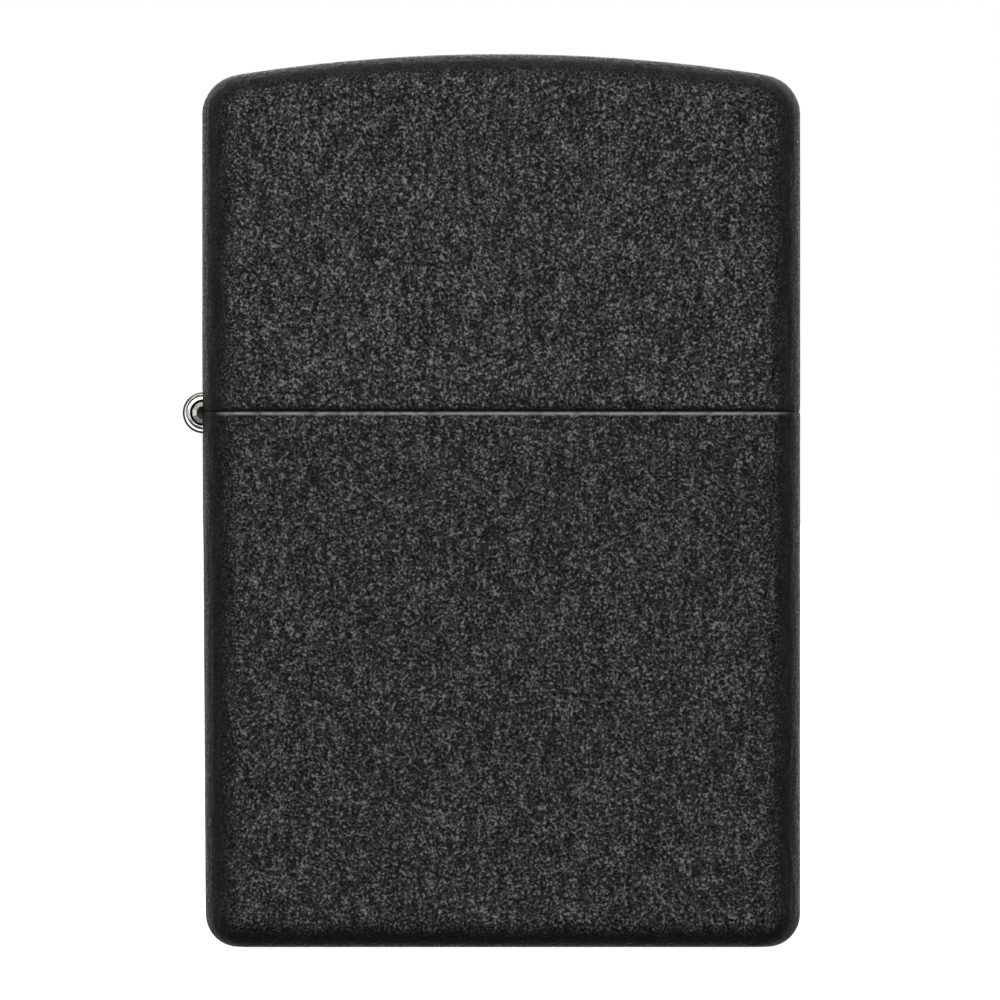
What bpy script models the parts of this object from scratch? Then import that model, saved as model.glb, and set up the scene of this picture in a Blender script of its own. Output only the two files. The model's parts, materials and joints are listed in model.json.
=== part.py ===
"""Windproof flip-top pocket lighter, built as it comes apart on a bench.

A drawn base and a crowned lid turn on a five-knuckle barrel hinge. A slip-in insert carries the
chimney, striker wheel, cam lever, flint tube, wick, packing and felt.

Frame: +Z up, X across the wide face with the hinge at -X, front face at -Y. The origin is the
centre of the base's flat underside, so the lighter stands on Z = 0.
"""

import math

import bmesh
import bpy
from mathutils import Matrix, Vector

MM = 0.001

# Case
CASE_WIDTH = 38.25 * MM
CASE_DEPTH = 12.8 * MM
CASE_HEIGHT = 57.0 * MM
CASE_WALL = 0.65 * MM
CASE_CORNER = 2.8 * MM  # upright edges, seen from above
CASE_EDGE = 2.05 * MM  # edges round the bottom and the crown
CROWN_RADIUS = 108.7 * MM  # the lid's top is a shallow arch
BASE_TAPER = 0.0076  # share of the width that the drawn base loses towards its bottom
SEAM_Z = 34.2 * MM
SEAM_GAP = 0.12 * MM
LIP = 0.3 * MM  # rounding of both rims at the seam
CROWN_STATIONS = 9  # points along the lid's long sides, which carry its arch

# Hinge
HINGE_X = -19.05 * MM
HINGE_Z = 34.12 * MM
HINGE_LENGTH = 7.8 * MM
PIN_STANDOUT = 0.05 * MM
PIN_BEVEL = 0.15 * MM
KNUCKLES = 5
KNUCKLE_GAP = 0.08 * MM
BARREL_RADIUS = 1.32 * MM
BARREL_BORE = 0.87 * MM
PIN_RADIUS = 0.79 * MM
LEAF_INSET = 0.1 * MM  # weld gap between a leaf and the case wall
LEAF_THICKNESS = 0.44 * MM
LEAF_NEAR = 1.45 * MM  # where the plate starts, measured from the hinge axis
LEAF_FAR = 6.6 * MM
NOTCH_RADIUS = 1.44 * MM
NOTCH_SIDE = 0.1 * MM
NOTCH_OUT = 2 * MM
NOTCH_IN = 1.6 * MM

# Fits
SNUG = 0.05 * MM  # between a fixed piece and what it sits in or on
FREE = 0.06 * MM  # round a rivet or a tube that passes through sheet
LOOSE = 0.12 * MM  # round the wick in the deck

# Insert
TANK_HALF_X = 17.6 * MM
TANK_HALF_Y = 5.65 * MM
TANK_CORNER = 2.35 * MM
TANK_EDGE = 1.2 * MM
TANK_WALL = 0.4 * MM
TANK_FOOT_Z = 1.75 * MM
TANK_LIP = 0.12 * MM
DECK_Z = 35.6 * MM

# Chimney
SHEET = 0.45 * MM
CHIMNEY_FOOT_Z = DECK_Z + SNUG
CHIMNEY_TOP_Z = 51.2 * MM
CHIMNEY_HALF_Y = 4.6 * MM
CHIMNEY_LEFT = -12.7 * MM
CHIMNEY_RIGHT = 2.4 * MM
CHIMNEY_CORNER = 2.2 * MM
EAR_HALF_Y = 3.2 * MM
EAR_RADIUS = 2.5 * MM
EAR_STEP = 1.4 * MM  # fillet between the chimney's edge and the ear's top
EAR_STEP_RISE = 3.4 * MM  # its centre above the wheel's axle
JOGGLE_START = CHIMNEY_RIGHT + 1.3 * MM  # where the walls step in to become ears
JOGGLE_END = CHIMNEY_RIGHT - 0.6 * MM
VENT_RADIUS = 0.95 * MM
VENT_PITCH_X = 3.5 * MM
VENT_PITCH_Z = 2.7 * MM
VENT_CENTRE = (-4.9 * MM, 45.6 * MM)
VENT_ROWS = ((1, 3), (0, 2), (-1, 3))  # (row above the centre, vents in it)
NOSE_SLOT_HALF_Y = 1.5 * MM
NOSE_SLOT_TOP_Z = 40.9 * MM

# Striker wheel and flint
WHEEL_X = 6.4 * MM
WHEEL_Z = 45.9 * MM
WHEEL_RADIUS = 3.6 * MM
WHEEL_HALF_Y = 2.35 * MM
WHEEL_TEETH = 36
TOOTH_DEPTH = 0.32 * MM
WHEEL_BORE = 1.02 * MM
WHEEL_PIN = 0.95 * MM
WHEEL_HEAD = (1.55 * MM, 0.5 * MM)  # radius and height of a rivet head
TUBE_RADIUS = 1.95 * MM
TUBE_BORE = 1.34 * MM
TUBE_FOOT_Z = 3.45 * MM
TUBE_TOP_Z = 41.4 * MM
FLINT_RADIUS = 1.25 * MM
FLINT_LENGTH = 5.0 * MM
FLINT_GAP = 0.08 * MM
FOLLOWER_STEM = 0.6 * MM
FOLLOWER_STEM_LENGTH = 2.4 * MM
FOLLOWER_HEAD = 1.2 * MM
FOLLOWER_HEAD_HEIGHT = 0.9 * MM
FOLLOWER_CROWN = 0.9 * MM
SCREW_HEAD_RADIUS = 3.1 * MM
SCREW_HEAD_HEIGHT = 1.3 * MM
SCREW_BEVEL = 0.2 * MM
SCREW_SHANK = 1.27 * MM
SCREW_PILOT = 0.6 * MM
SCREW_PILOT_LENGTH = 1.6 * MM
SCREW_SLOT_HALF = 0.45 * MM
SCREW_SLOT_DEPTH = 0.7 * MM
SCREW_FOOT_Z = 2.0 * MM
SPRING_TURNS = 15
SPRING_STEPS = 10  # points on each turn
SPRING_FOOT_Z = 8.3 * MM
SPRING_COIL = 0.95 * MM
SPRING_WIRE = 0.19 * MM

# Cam lever
CAM_X = -10.0 * MM
CAM_Z = 37.4 * MM
CAM_HALF_Y = 1.2 * MM
CAM_PIN = 0.8 * MM
CAM_BORE = 0.86 * MM
CAM_HEAD = (1.35 * MM, 0.45 * MM)
CAM_SLOT = (-3.1 * MM, 1.8 * MM)  # reach of the deck's slot either side of the pivot
CAM_SLOT_HALF_Y = 1.55 * MM
NOSE = (-16.7 * MM, 38.9 * MM)
NOSE_RADIUS = 1.1 * MM
TAIL = (-11.3 * MM, 32.9 * MM)
TAIL_RADIUS = 0.65 * MM
CAM_BOSS = 1.55 * MM
CAM_ARMPIT = (-2.1 * MM, -0.8 * MM)  # inner corner of the lever, from its pivot
LEAF_SPRING = 0.3 * MM
LEAF_SPRING_HALF_Y = 1.3 * MM
LEAF_SPRING_GAP = 0.1 * MM
LEAF_SPRING_FOOT = 2.0 * MM  # how far it reaches below its rivet
LEAF_SPRING_KNEE = 2.6 * MM  # how far above its rivet it leaves the wall
LEAF_SPRING_TIP = (-0.3 * MM, 0.2 * MM)  # its end, from the tail's side
SPRING_RIVET_Z = 22.0 * MM
SPRING_RIVET = 0.5 * MM
SPRING_RIVET_HEAD = (0.95 * MM, 0.28 * MM)

# Wick, packing and felt
WICK_X = -0.8 * MM
WICK_TOP_Z = 46.3 * MM
WICK_RADIUS = 1.3 * MM
WICK_LOW_X = 2.6 * MM
WICK_LEAN_TOP_Z = 34.2 * MM  # the wick leans over to the flint tube between these heights
WICK_LEAN_FOOT_Z = 29.2 * MM
WICK_ELBOW = 2.6 * MM
WICK_BEND = 4.8 * MM
WICK_TURN_X = -10.8 * MM
WICK_TURN_Z = 18.4 * MM
WICK_RUN = 12.8 * MM
PAD_HALF_Y = 4.95 * MM
PAD_ROUNDING = 1.6 * MM
PAD_TOP_Z = 33.9 * MM
PAD_SPLIT_Z = 18.7 * MM  # between the two pads beside the flint tube
PAD_GAP = 0.2 * MM
PAD_TO_WALL = 0.3 * MM
PAD_TO_TUBE = 0.5 * MM
PAD_TO_WICK = 0.35 * MM
UPPER_PAD_LEFT = -8.9 * MM
MIDDLE_PAD_LEFT = -12.2 * MM
FELT_FOOT_Z = 1.9 * MM
FELT_TOP_Z = 4.2 * MM
FELT_GAP = 0.15 * MM

ORIGIN = Vector((0, 0, 0))
THROUGH = 20 * MM  # reach of a cutter that must pass right through
REACH = 2 * MM  # reach of a cutter through one wall


# ---------------------------------------------------------------- scene helpers


def clear_scene():
    for old in list(bpy.data.objects):
        bpy.data.objects.remove(old)


def make_material(name, colour, roughness, metallic):
    material = bpy.data.materials.new(name)
    material.use_nodes = True
    shader = material.node_tree.nodes["Principled BSDF"]
    shader.inputs["Base Color"].default_value = (*colour, 1)
    shader.inputs["Roughness"].default_value = roughness
    shader.inputs["Metallic"].default_value = metallic
    material.diffuse_color = (*colour, 1)
    return material


def make_body(name, position):
    """An empty on a joint's axis, which carries the pieces that move together."""
    empty = bpy.data.objects.new(name, None)
    empty.location = position
    empty.empty_display_size = 4 * MM
    bpy.context.scene.collection.objects.link(empty)
    return empty


def to_mesh(name, bm):
    bmesh.ops.recalc_face_normals(bm, faces=bm.faces)
    mesh = bpy.data.meshes.new(name)
    bm.to_mesh(mesh)
    bm.free()
    return mesh


def add_piece(name, bm, material, body, sharp_degrees=35):
    """Links a piece modelled in world coordinates under its body's empty."""
    mesh = to_mesh(name, bm)
    mesh.transform(Matrix.Translation(-body.location))
    mesh.shade_smooth()
    mesh.set_sharp_from_angle(angle=math.radians(sharp_degrees))
    mesh.materials.append(material)
    piece = bpy.data.objects.new(name, mesh)
    piece.parent = body
    bpy.context.scene.collection.objects.link(piece)
    return piece


def cut(piece, name, *shapes):
    """Takes the closed, separate shapes from a piece with one Boolean."""
    joined = bmesh.new()
    for shape in shapes:
        loose = to_mesh(name, shape)
        joined.from_mesh(loose)
        bpy.data.meshes.remove(loose)
    cutter = bpy.data.objects.new(name, to_mesh(name, joined))
    cutter.hide_render = True
    cutter.display_type = "WIRE"
    bpy.context.scene.collection.objects.link(cutter)
    modifier = piece.modifiers.new(name, "BOOLEAN")
    modifier.operation = "DIFFERENCE"
    modifier.solver = "EXACT"
    modifier.object = cutter


# ---------------------------------------------------------------- shape helpers


def arc(centre, radius, start, end, steps):
    """Points from start to end, in degrees, both included."""
    points = []
    for i in range(steps + 1):
        angle = math.radians(start + (end - start) * i / steps)
        points.append((centre[0] + radius * math.cos(angle), centre[1] + radius * math.sin(angle)))
    return points


def rounded_outline(half_x, half_y, corner, arc_steps, stations):
    """A rounded rectangle, the same front and back, with extra points along its long sides."""
    x, y = half_x - corner, half_y - corner
    along = [x * (1 - 2 * (i + 1) / (stations + 1)) for i in range(stations)]
    back = arc((x, y), corner, 0, 90, arc_steps)
    back += [(at, half_y) for at in along]
    back += arc((-x, y), corner, 90, 180, arc_steps)
    return back + [(px, -py) for px, py in reversed(back)]


def skin(bm, rings):
    """Joins rings of equal length with quads, and returns their vertices."""
    rows = [[bm.verts.new(point) for point in ring] for ring in rings]
    count = len(rows[0])
    for low, high in zip(rows, rows[1:]):
        for i in range(count):
            j = (i + 1) % count
            bm.faces.new((low[i], low[j], high[j], high[i]))
    return rows


def close_in_strips(bm, row):
    """Fills a ring whose front half mirrors its back half with strips across it."""
    last = len(row) - 1
    for i in range(len(row) // 2 - 1):
        bm.faces.new((row[i], row[i + 1], row[last - i - 1], row[last - i]))


def flat_end(z):
    return lambda x: z


def crowned_end(z):
    return lambda x: z - CROWN_RADIUS + math.sqrt(CROWN_RADIUS**2 - x**2)


def cup_skin(half_x, half_y, corner, edge, rim_z, end_z, lip, stations):
    """Rings of one face of a cup, from its rim to the border of its closed end.

    A positive lip rounds the rim inwards, for the outer face, and a negative one flares the inner face.
    """
    arc_steps, edge_steps, lip_steps = 6, 4, 2
    up = 1 if end_z(0) > rim_z else -1
    rings = []
    for i in range(lip_steps + 1):
        angle = math.pi / 2 * i / lip_steps
        inset = lip * (1 - math.sin(angle))
        z = rim_z + up * abs(lip) * (1 - math.cos(angle))
        outline = rounded_outline(half_x - inset, half_y - inset, corner - inset, arc_steps, stations)
        rings.append([(x, y, z) for x, y in outline])
    for i in range(edge_steps + 1):
        angle = math.pi / 2 * i / edge_steps
        inset = edge * (1 - math.cos(angle))
        drop = up * edge * (1 - math.sin(angle))
        outline = rounded_outline(half_x - inset, half_y - inset, corner - inset, arc_steps, stations)
        rings.append([(x, y, end_z(x) - drop) for x, y in outline])
    return rings


def cup(half_x, half_y, corner, edge, wall, rim_z, end_z, lip, stations=0, taper=0.0):
    """A drawn cup of even wall with one closed end, as a closed solid."""
    up = 1 if end_z(0) > rim_z else -1
    outer = cup_skin(half_x, half_y, corner, edge, rim_z, end_z, lip, stations)
    inner = cup_skin(
        half_x - wall,
        half_y - wall,
        corner - wall,
        edge - wall,
        rim_z,
        lambda x: end_z(x) - up * wall,
        -lip / 4,
        stations,
    )
    rings = outer[::-1] + inner
    if taper:
        rings = [[(x * (1 - taper * (1 - z / rim_z)), y, z) for x, y, z in ring] for ring in rings]
    bm = bmesh.new()
    rows = skin(bm, rings)
    close_in_strips(bm, rows[0])
    close_in_strips(bm, rows[-1])
    return bm


def prism(outline, low, high, axis):
    """An outline extruded along Y (outline in X and Z) or Z (outline in X and Y)."""
    bm = bmesh.new()
    if axis == "Y":
        verts = [bm.verts.new((a, low, b)) for a, b in outline]
        reach = Vector((0, high - low, 0))
    else:
        verts = [bm.verts.new((a, b, low)) for a, b in outline]
        reach = Vector((0, 0, high - low))
    face = bm.faces.new(verts)
    grown = bmesh.ops.extrude_face_region(bm, geom=[face])
    moved = [item for item in grown["geom"] if isinstance(item, bmesh.types.BMVert)]
    bmesh.ops.translate(bm, verts=moved, vec=reach)
    return bm


def box(low, high):
    corners = [(low[0], low[1]), (high[0], low[1]), (high[0], high[1]), (low[0], high[1])]
    return prism(corners, low[2], high[2], "Z")


def turned(profile, position, axis, segments=24):
    """A profile of (radius, distance) points turned about an axis through position."""
    bm = bmesh.new()
    rings = []
    for radius, along in profile:
        circle = [2 * math.pi * i / segments for i in range(segments)]
        rings.append([(radius * math.cos(a), radius * math.sin(a), along) for a in circle])
    rows = skin(bm, rings)
    bm.faces.new(rows[0])
    bm.faces.new(rows[-1])
    to_axis = {"X": Matrix.Rotation(math.pi / 2, 4, "Y"), "Y": Matrix.Rotation(-math.pi / 2, 4, "X")}
    turn = to_axis.get(axis, Matrix.Identity(4))
    bmesh.ops.transform(bm, matrix=Matrix.Translation(position) @ turn, verts=bm.verts)
    return bm


def rod(radius, low, high, position, axis, segments=24):
    return turned([(radius, low), (radius, high)], position, axis, segments)


def tube(outer, bore, low, high, position, segments=24):
    """An upright open tube."""
    bm = bmesh.new()
    circle = [2 * math.pi * i / segments for i in range(segments)]
    profile = [(outer, low), (outer, high), (bore, high), (bore, low)]
    rings = []
    for radius, z in profile:
        rings.append([(radius * math.cos(a), radius * math.sin(a), z) for a in circle])
    rows = skin(bm, rings)
    for i in range(segments):
        j = (i + 1) % segments
        bm.faces.new((rows[3][i], rows[3][j], rows[0][j], rows[0][i]))
    bmesh.ops.translate(bm, verts=bm.verts, vec=position)
    return bm


def ease(share):
    """Runs from 0 to 1 with a level start and end."""
    return share * share * (3 - 2 * share)


def offset_path(points, thickness):
    """The outline of a strip of even thickness whose middle line is an open path."""
    left, right = [], []
    for i, point in enumerate(points):
        before = Vector(points[max(i - 1, 0)])
        after = Vector(points[min(i + 1, len(points) - 1)])
        run = (after - before).normalized()
        normal = Vector((-run.y, run.x))
        near = (Vector(point) - before).normalized() if i else run
        far = (after - Vector(point)).normalized() if i < len(points) - 1 else run
        mitre = 1 / max(math.sqrt((1 + near.dot(far)) / 2), 0.5)
        step = normal * (thickness / 2 * mitre)
        left.append(tuple(Vector(point) + step))
        right.append(tuple(Vector(point) - step))
    return left + right[::-1]


# ---------------------------------------------------------------- case and hinge


def hinge_notch(low_z, high_z):
    side = HINGE_LENGTH / 2 + NOTCH_SIDE
    return box((HINGE_X - NOTCH_OUT, -side, low_z), (HINGE_X + NOTCH_IN, side, high_z))


def build_base(body, paint):
    half_x, half_y = CASE_WIDTH / 2, CASE_DEPTH / 2
    rim = SEAM_Z - SEAM_GAP / 2
    bottom = flat_end(0)
    shell = cup(half_x, half_y, CASE_CORNER, CASE_EDGE, CASE_WALL, rim, bottom, LIP, taper=BASE_TAPER)
    piece = add_piece("case_base", shell, paint, body)
    cut(piece, "base_hinge_notch", hinge_notch(HINGE_Z - NOTCH_RADIUS, SEAM_Z + REACH))


def build_lid(body, paint):
    half_x, half_y = CASE_WIDTH / 2, CASE_DEPTH / 2
    rim = SEAM_Z + SEAM_GAP / 2
    top = crowned_end(CASE_HEIGHT)
    shell = cup(half_x, half_y, CASE_CORNER, CASE_EDGE, CASE_WALL, rim, top, LIP, CROWN_STATIONS)
    piece = add_piece("case_lid", shell, paint, body)
    cut(piece, "lid_hinge_notch", hinge_notch(SEAM_Z - REACH, HINGE_Z + NOTCH_RADIUS))


def knuckle_spans(numbers):
    length = (HINGE_LENGTH - (KNUCKLES - 1) * KNUCKLE_GAP) / KNUCKLES
    starts = [-HINGE_LENGTH / 2 + k * (length + KNUCKLE_GAP) for k in numbers]
    return [(start, start + length) for start in starts]


def build_leaf(name, body, metal, up, numbers):
    """A hinge leaf: a plate inside the case wall whose edge is rolled into knuckles."""
    u0 = CASE_WALL + LEAF_INSET - CASE_WIDTH / 2 - HINGE_X
    u1 = u0 + LEAF_THICKNESS
    start = math.degrees(math.acos(u0 / BARREL_RADIUS))
    end = 360 + math.degrees(math.acos(u1 / BARREL_RADIUS))
    roll = arc((0, 0), BARREL_RADIUS, start, end, 20)
    spans = knuckle_spans(numbers)
    stations = sorted({-HINGE_LENGTH / 2, HINGE_LENGTH / 2, *(y for span in spans for y in span)})
    bm = bmesh.new()

    def vertex(u, h, y):
        return bm.verts.new((HINGE_X + u, y, HINGE_Z + up * h))

    plate = {}
    for y in stations:
        corners = ((u0, LEAF_NEAR), (u1, LEAF_NEAR), (u1, LEAF_FAR), (u0, LEAF_FAR))
        plate[y] = [vertex(u, h, y) for u, h in corners]
    bm.faces.new(plate[stations[0]])
    bm.faces.new(plate[stations[-1]])
    for near, far in zip(stations, stations[1:]):
        for i in range(4):
            j = (i + 1) % 4
            if i == 0 and (near, far) in spans:
                continue
            bm.faces.new((plate[near][i], plate[near][j], plate[far][j], plate[far][i]))
    for near, far in spans:
        rows = []
        for y in (near, far):
            rows.append([plate[y][0]] + [vertex(u, h, y) for u, h in roll] + [plate[y][1]])
            bm.faces.new(rows[-1])
        for i in range(len(rows[0]) - 1):
            bm.faces.new((rows[0][i], rows[0][i + 1], rows[1][i + 1], rows[1][i]))
    piece = add_piece(name, bm, metal, body)
    centre = (HINGE_X, 0, HINGE_Z)
    cut(piece, name + "_bore", rod(BARREL_BORE, -THROUGH, THROUGH, centre, "Y", 24))


def build_hinge_pin(body, metal):
    half = HINGE_LENGTH / 2 + PIN_STANDOUT
    profile = [(PIN_RADIUS - PIN_BEVEL, -half), (PIN_RADIUS, -half + PIN_BEVEL)]
    profile += [(radius, -along) for radius, along in reversed(profile)]
    pin = turned(profile, (HINGE_X, 0, HINGE_Z), "Y", 20)
    add_piece("hinge_pin", pin, metal, body)


# ---------------------------------------------------------------- insert


def cam_slot():
    low = (CAM_X + CAM_SLOT[0], -CAM_SLOT_HALF_Y, DECK_Z - REACH)
    high = (CAM_X + CAM_SLOT[1], CAM_SLOT_HALF_Y, DECK_Z + REACH)
    return box(low, high)


def build_tank(body, metal):
    deck = flat_end(DECK_Z)
    shell = cup(
        TANK_HALF_X, TANK_HALF_Y, TANK_CORNER, TANK_EDGE, TANK_WALL, TANK_FOOT_Z, deck, TANK_LIP
    )
    piece = add_piece("insert_tank", shell, metal, body)
    wick = rod(WICK_RADIUS + LOOSE, -REACH, REACH, (WICK_X, 0, DECK_Z), "Z")
    flint = rod(TUBE_RADIUS + FREE, -REACH, REACH, (WHEEL_X, 0, DECK_Z), "Z")
    rivet = rod(SPRING_RIVET + FREE, -REACH, REACH, (-TANK_HALF_X, 0, SPRING_RIVET_Z), "X", 16)
    cut(piece, "tank_openings", wick, flint, rivet, cam_slot())


def chimney_path():
    """Half of the chimney's middle line seen from above, from the ear's tip round to the hinge side."""
    ear = EAR_HALF_Y - SHEET / 2
    wall = CHIMNEY_HALF_Y - SHEET / 2
    corner = CHIMNEY_CORNER - SHEET / 2
    left = CHIMNEY_LEFT + CHIMNEY_CORNER
    points = [(WHEEL_X + EAR_RADIUS, ear)]
    for i in range(7):
        share = i / 6
        x = JOGGLE_START + (JOGGLE_END - JOGGLE_START) * share
        points.append((x, ear + (wall - ear) * ease(share)))
    points += arc((left, wall - corner), corner, 90, 180, 5)
    return points


def ear_cutter():
    """Everything to be cleared beside and above the ears, seen from the front."""
    top = CHIMNEY_TOP_Z + REACH
    right = WHEEL_X + EAR_RADIUS + REACH
    step_z = WHEEL_Z + EAR_STEP_RISE
    outline = [(CHIMNEY_RIGHT, top)]
    outline += arc((CHIMNEY_RIGHT + EAR_STEP, step_z), EAR_STEP, 180, 270, 4)
    outline += arc((WHEEL_X, WHEEL_Z), EAR_RADIUS, 115, 0, 8)
    outline += [(right, WHEEL_Z), (right, top)]
    return prism(outline, -THROUGH, THROUGH, "Y")


def vent_cutters():
    """Three rows of vents of three, two and three, through the front and the back wall."""
    shapes = []
    for row, count in VENT_ROWS:
        for k in range(count):
            x = VENT_CENTRE[0] + (k - (count - 1) / 2) * VENT_PITCH_X
            z = VENT_CENTRE[1] + row * VENT_PITCH_Z
            shapes.append(rod(VENT_RADIUS, -THROUGH, THROUGH, (x, 0, z), "Y", 14))
    return shapes


def build_chimney(body, metal):
    back = chimney_path()
    path = back + [(x, -y) for x, y in reversed(back)]
    strip = prism(offset_path(path, SHEET), CHIMNEY_FOOT_Z, CHIMNEY_TOP_Z, "Z")
    piece = add_piece("chimney", strip, metal, body)
    slot = box(
        (CHIMNEY_LEFT - REACH, -NOSE_SLOT_HALF_Y, DECK_Z - REACH),
        (CHIMNEY_LEFT + CHIMNEY_CORNER / 2, NOSE_SLOT_HALF_Y, NOSE_SLOT_TOP_Z),
    )
    wheel_hole = rod(WHEEL_PIN + SNUG, -THROUGH, THROUGH, (WHEEL_X, 0, WHEEL_Z), "Y", 20)
    cam_hole = rod(CAM_PIN + SNUG, -THROUGH, THROUGH, (CAM_X, 0, CAM_Z), "Y", 20)
    cut(piece, "ear_profile", ear_cutter())
    cut(piece, "chimney_holes", slot, wheel_hole, cam_hole, *vent_cutters())


def build_rivet(name, body, metal, centre, axis, shank, half_grip, head_size):
    """A plain rivet: a shank with a chamfered head at each end, just clear of what it grips."""
    head, height = head_size
    grip = half_grip + FREE
    end = grip + height
    profile = [(head - height, -end), (head, -end + height / 2), (head, -grip), (shank, -grip)]
    profile += [(radius, -along) for radius, along in reversed(profile)]
    add_piece(name, turned(profile, centre, axis, 20), metal, body)


def build_wheel(body, metal):
    outline = []
    pitch = 360 / WHEEL_TEETH
    for k in range(WHEEL_TEETH):
        tip = math.radians(k * pitch)
        root = math.radians((k + 0.7) * pitch)
        low = WHEEL_RADIUS - TOOTH_DEPTH
        outline.append((WHEEL_X + WHEEL_RADIUS * math.cos(tip), WHEEL_Z + WHEEL_RADIUS * math.sin(tip)))
        outline.append((WHEEL_X + low * math.cos(root), WHEEL_Z + low * math.sin(root)))
    blank = prism(outline, -WHEEL_HALF_Y, WHEEL_HALF_Y, "Y")
    piece = add_piece("striker_wheel", blank, metal, body, sharp_degrees=20)
    cut(piece, "wheel_bore", rod(WHEEL_BORE, -THROUGH, THROUGH, (WHEEL_X, 0, WHEEL_Z), "Y", 20))


def cam_outline():
    """The lever seen from the front: nose to the hinge side, tail down through the deck."""
    outline = arc(NOSE, NOSE_RADIUS, 78, 258, 8)
    outline.append((CAM_X + CAM_ARMPIT[0], CAM_Z + CAM_ARMPIT[1]))
    outline += arc(TAIL, TAIL_RADIUS, 180, 345, 6)
    outline += arc((CAM_X, CAM_Z), CAM_BOSS, -35, 100, 8)
    return outline


def build_cam(body, metal):
    lever = prism(cam_outline(), -CAM_HALF_Y, CAM_HALF_Y, "Y")
    piece = add_piece("cam_lever", lever, metal, body)
    cut(piece, "cam_bore", rod(CAM_BORE, -THROUGH, THROUGH, (CAM_X, 0, CAM_Z), "Y", 20))


def build_cam_spring(body, metal):
    """A leaf spring riveted inside the tank's hinge-side wall, which presses on the cam's tail."""
    wall_x = -TANK_HALF_X + TANK_WALL + LEAF_SPRING_GAP + LEAF_SPRING / 2
    foot = (wall_x, SPRING_RIVET_Z - LEAF_SPRING_FOOT)
    knee = (wall_x, SPRING_RIVET_Z + LEAF_SPRING_KNEE)
    tip = (TAIL[0] - TAIL_RADIUS + LEAF_SPRING_TIP[0], TAIL[1] + LEAF_SPRING_TIP[1])
    path = [foot, (wall_x, SPRING_RIVET_Z), knee]
    for i in range(1, 7):
        share = i / 6
        bend = share * share * (1.6 - 0.6 * share)
        path.append((knee[0] + (tip[0] - knee[0]) * bend, knee[1] + (tip[1] - knee[1]) * share))
    strip = prism(offset_path(path, LEAF_SPRING), -LEAF_SPRING_HALF_Y, LEAF_SPRING_HALF_Y, "Y")
    piece = add_piece("cam_spring", strip, metal, body)
    rivet_hole = rod(SPRING_RIVET + FREE, -REACH, REACH, (wall_x, 0, SPRING_RIVET_Z), "X", 16)
    cut(piece, "cam_spring_hole", rivet_hole)


# ---------------------------------------------------------------- flint train


def build_flint_tube(body, metal):
    axis = Vector((WHEEL_X, 0, 0))
    add_piece("flint_tube", tube(TUBE_RADIUS, TUBE_BORE, TUBE_FOOT_Z, TUBE_TOP_Z, axis), metal, body)


def flint_top():
    return WHEEL_Z - WHEEL_RADIUS - FLINT_GAP


def build_flint(body, alloy):
    top = flint_top()
    low = top - FLINT_LENGTH
    profile = [
        (FLINT_RADIUS - PIN_BEVEL, low),
        (FLINT_RADIUS, low + PIN_BEVEL),
        (FLINT_RADIUS, top - PIN_BEVEL),
        (FLINT_RADIUS - PIN_BEVEL, top),
    ]
    add_piece("flint", turned(profile, (WHEEL_X, 0, 0), "Z", 18), alloy, body)


def follower_top():
    return flint_top() - FLINT_LENGTH - SNUG


def build_follower(body, metal):
    """The mushroom-shaped plunger between the spring and the flint."""
    top = follower_top()
    under = top - FOLLOWER_HEAD_HEIGHT
    profile = [
        (FOLLOWER_STEM, under - FOLLOWER_STEM_LENGTH),
        (FOLLOWER_STEM, under),
        (FOLLOWER_HEAD, under),
        (FOLLOWER_HEAD, top - PIN_BEVEL),
        (FOLLOWER_CROWN, top),
    ]
    add_piece("flint_follower", turned(profile, (WHEEL_X, 0, 0), "Z", 18), metal, body)


def build_flint_spring(body, metal):
    """A compression spring, one turn of wire after another up the tube."""
    low = SPRING_FOOT_Z + SPRING_WIRE + SNUG
    high = follower_top() - FOLLOWER_HEAD_HEIGHT - SPRING_WIRE - SNUG
    count = SPRING_TURNS * SPRING_STEPS
    curve = bpy.data.curves.new("flint_spring", "CURVE")
    curve.dimensions = "3D"
    curve.bevel_depth = SPRING_WIRE
    curve.bevel_resolution = 0
    curve.use_fill_caps = True
    spline = curve.splines.new("POLY")
    spline.points.add(count)
    for i in range(count + 1):
        angle = 2 * math.pi * i / SPRING_STEPS
        z = low + (high - low) * i / count
        spline.points[i].co = (SPRING_COIL * math.cos(angle), SPRING_COIL * math.sin(angle), z, 1)
    curve.materials.append(metal)
    piece = bpy.data.objects.new("flint_spring", curve)
    piece.location = (WHEEL_X, 0, 0)
    piece.parent = body
    bpy.context.scene.collection.objects.link(piece)


def build_flint_screw(body, metal):
    """The slotted screw that closes the flint tube, with a pilot that centres the spring."""
    head_top = SCREW_FOOT_Z + SCREW_HEAD_HEIGHT
    profile = [
        (SCREW_HEAD_RADIUS - SCREW_BEVEL, SCREW_FOOT_Z),
        (SCREW_HEAD_RADIUS, SCREW_FOOT_Z + SCREW_BEVEL),
        (SCREW_HEAD_RADIUS, head_top),
        (SCREW_SHANK, head_top),
        (SCREW_SHANK, SPRING_FOOT_Z),
        (SCREW_PILOT, SPRING_FOOT_Z),
        (SCREW_PILOT, SPRING_FOOT_Z + SCREW_PILOT_LENGTH),
    ]
    piece = add_piece("flint_screw", turned(profile, (WHEEL_X, 0, 0), "Z"), metal, body)
    slot_x = SCREW_HEAD_RADIUS + REACH
    slot = box(
        (WHEEL_X - slot_x, -SCREW_SLOT_HALF, SCREW_FOOT_Z - REACH),
        (WHEEL_X + slot_x, SCREW_SLOT_HALF, SCREW_FOOT_Z + SCREW_SLOT_DEPTH),
    )
    cut(piece, "screw_slot", slot)


# ---------------------------------------------------------------- wick, packing, felt


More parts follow.
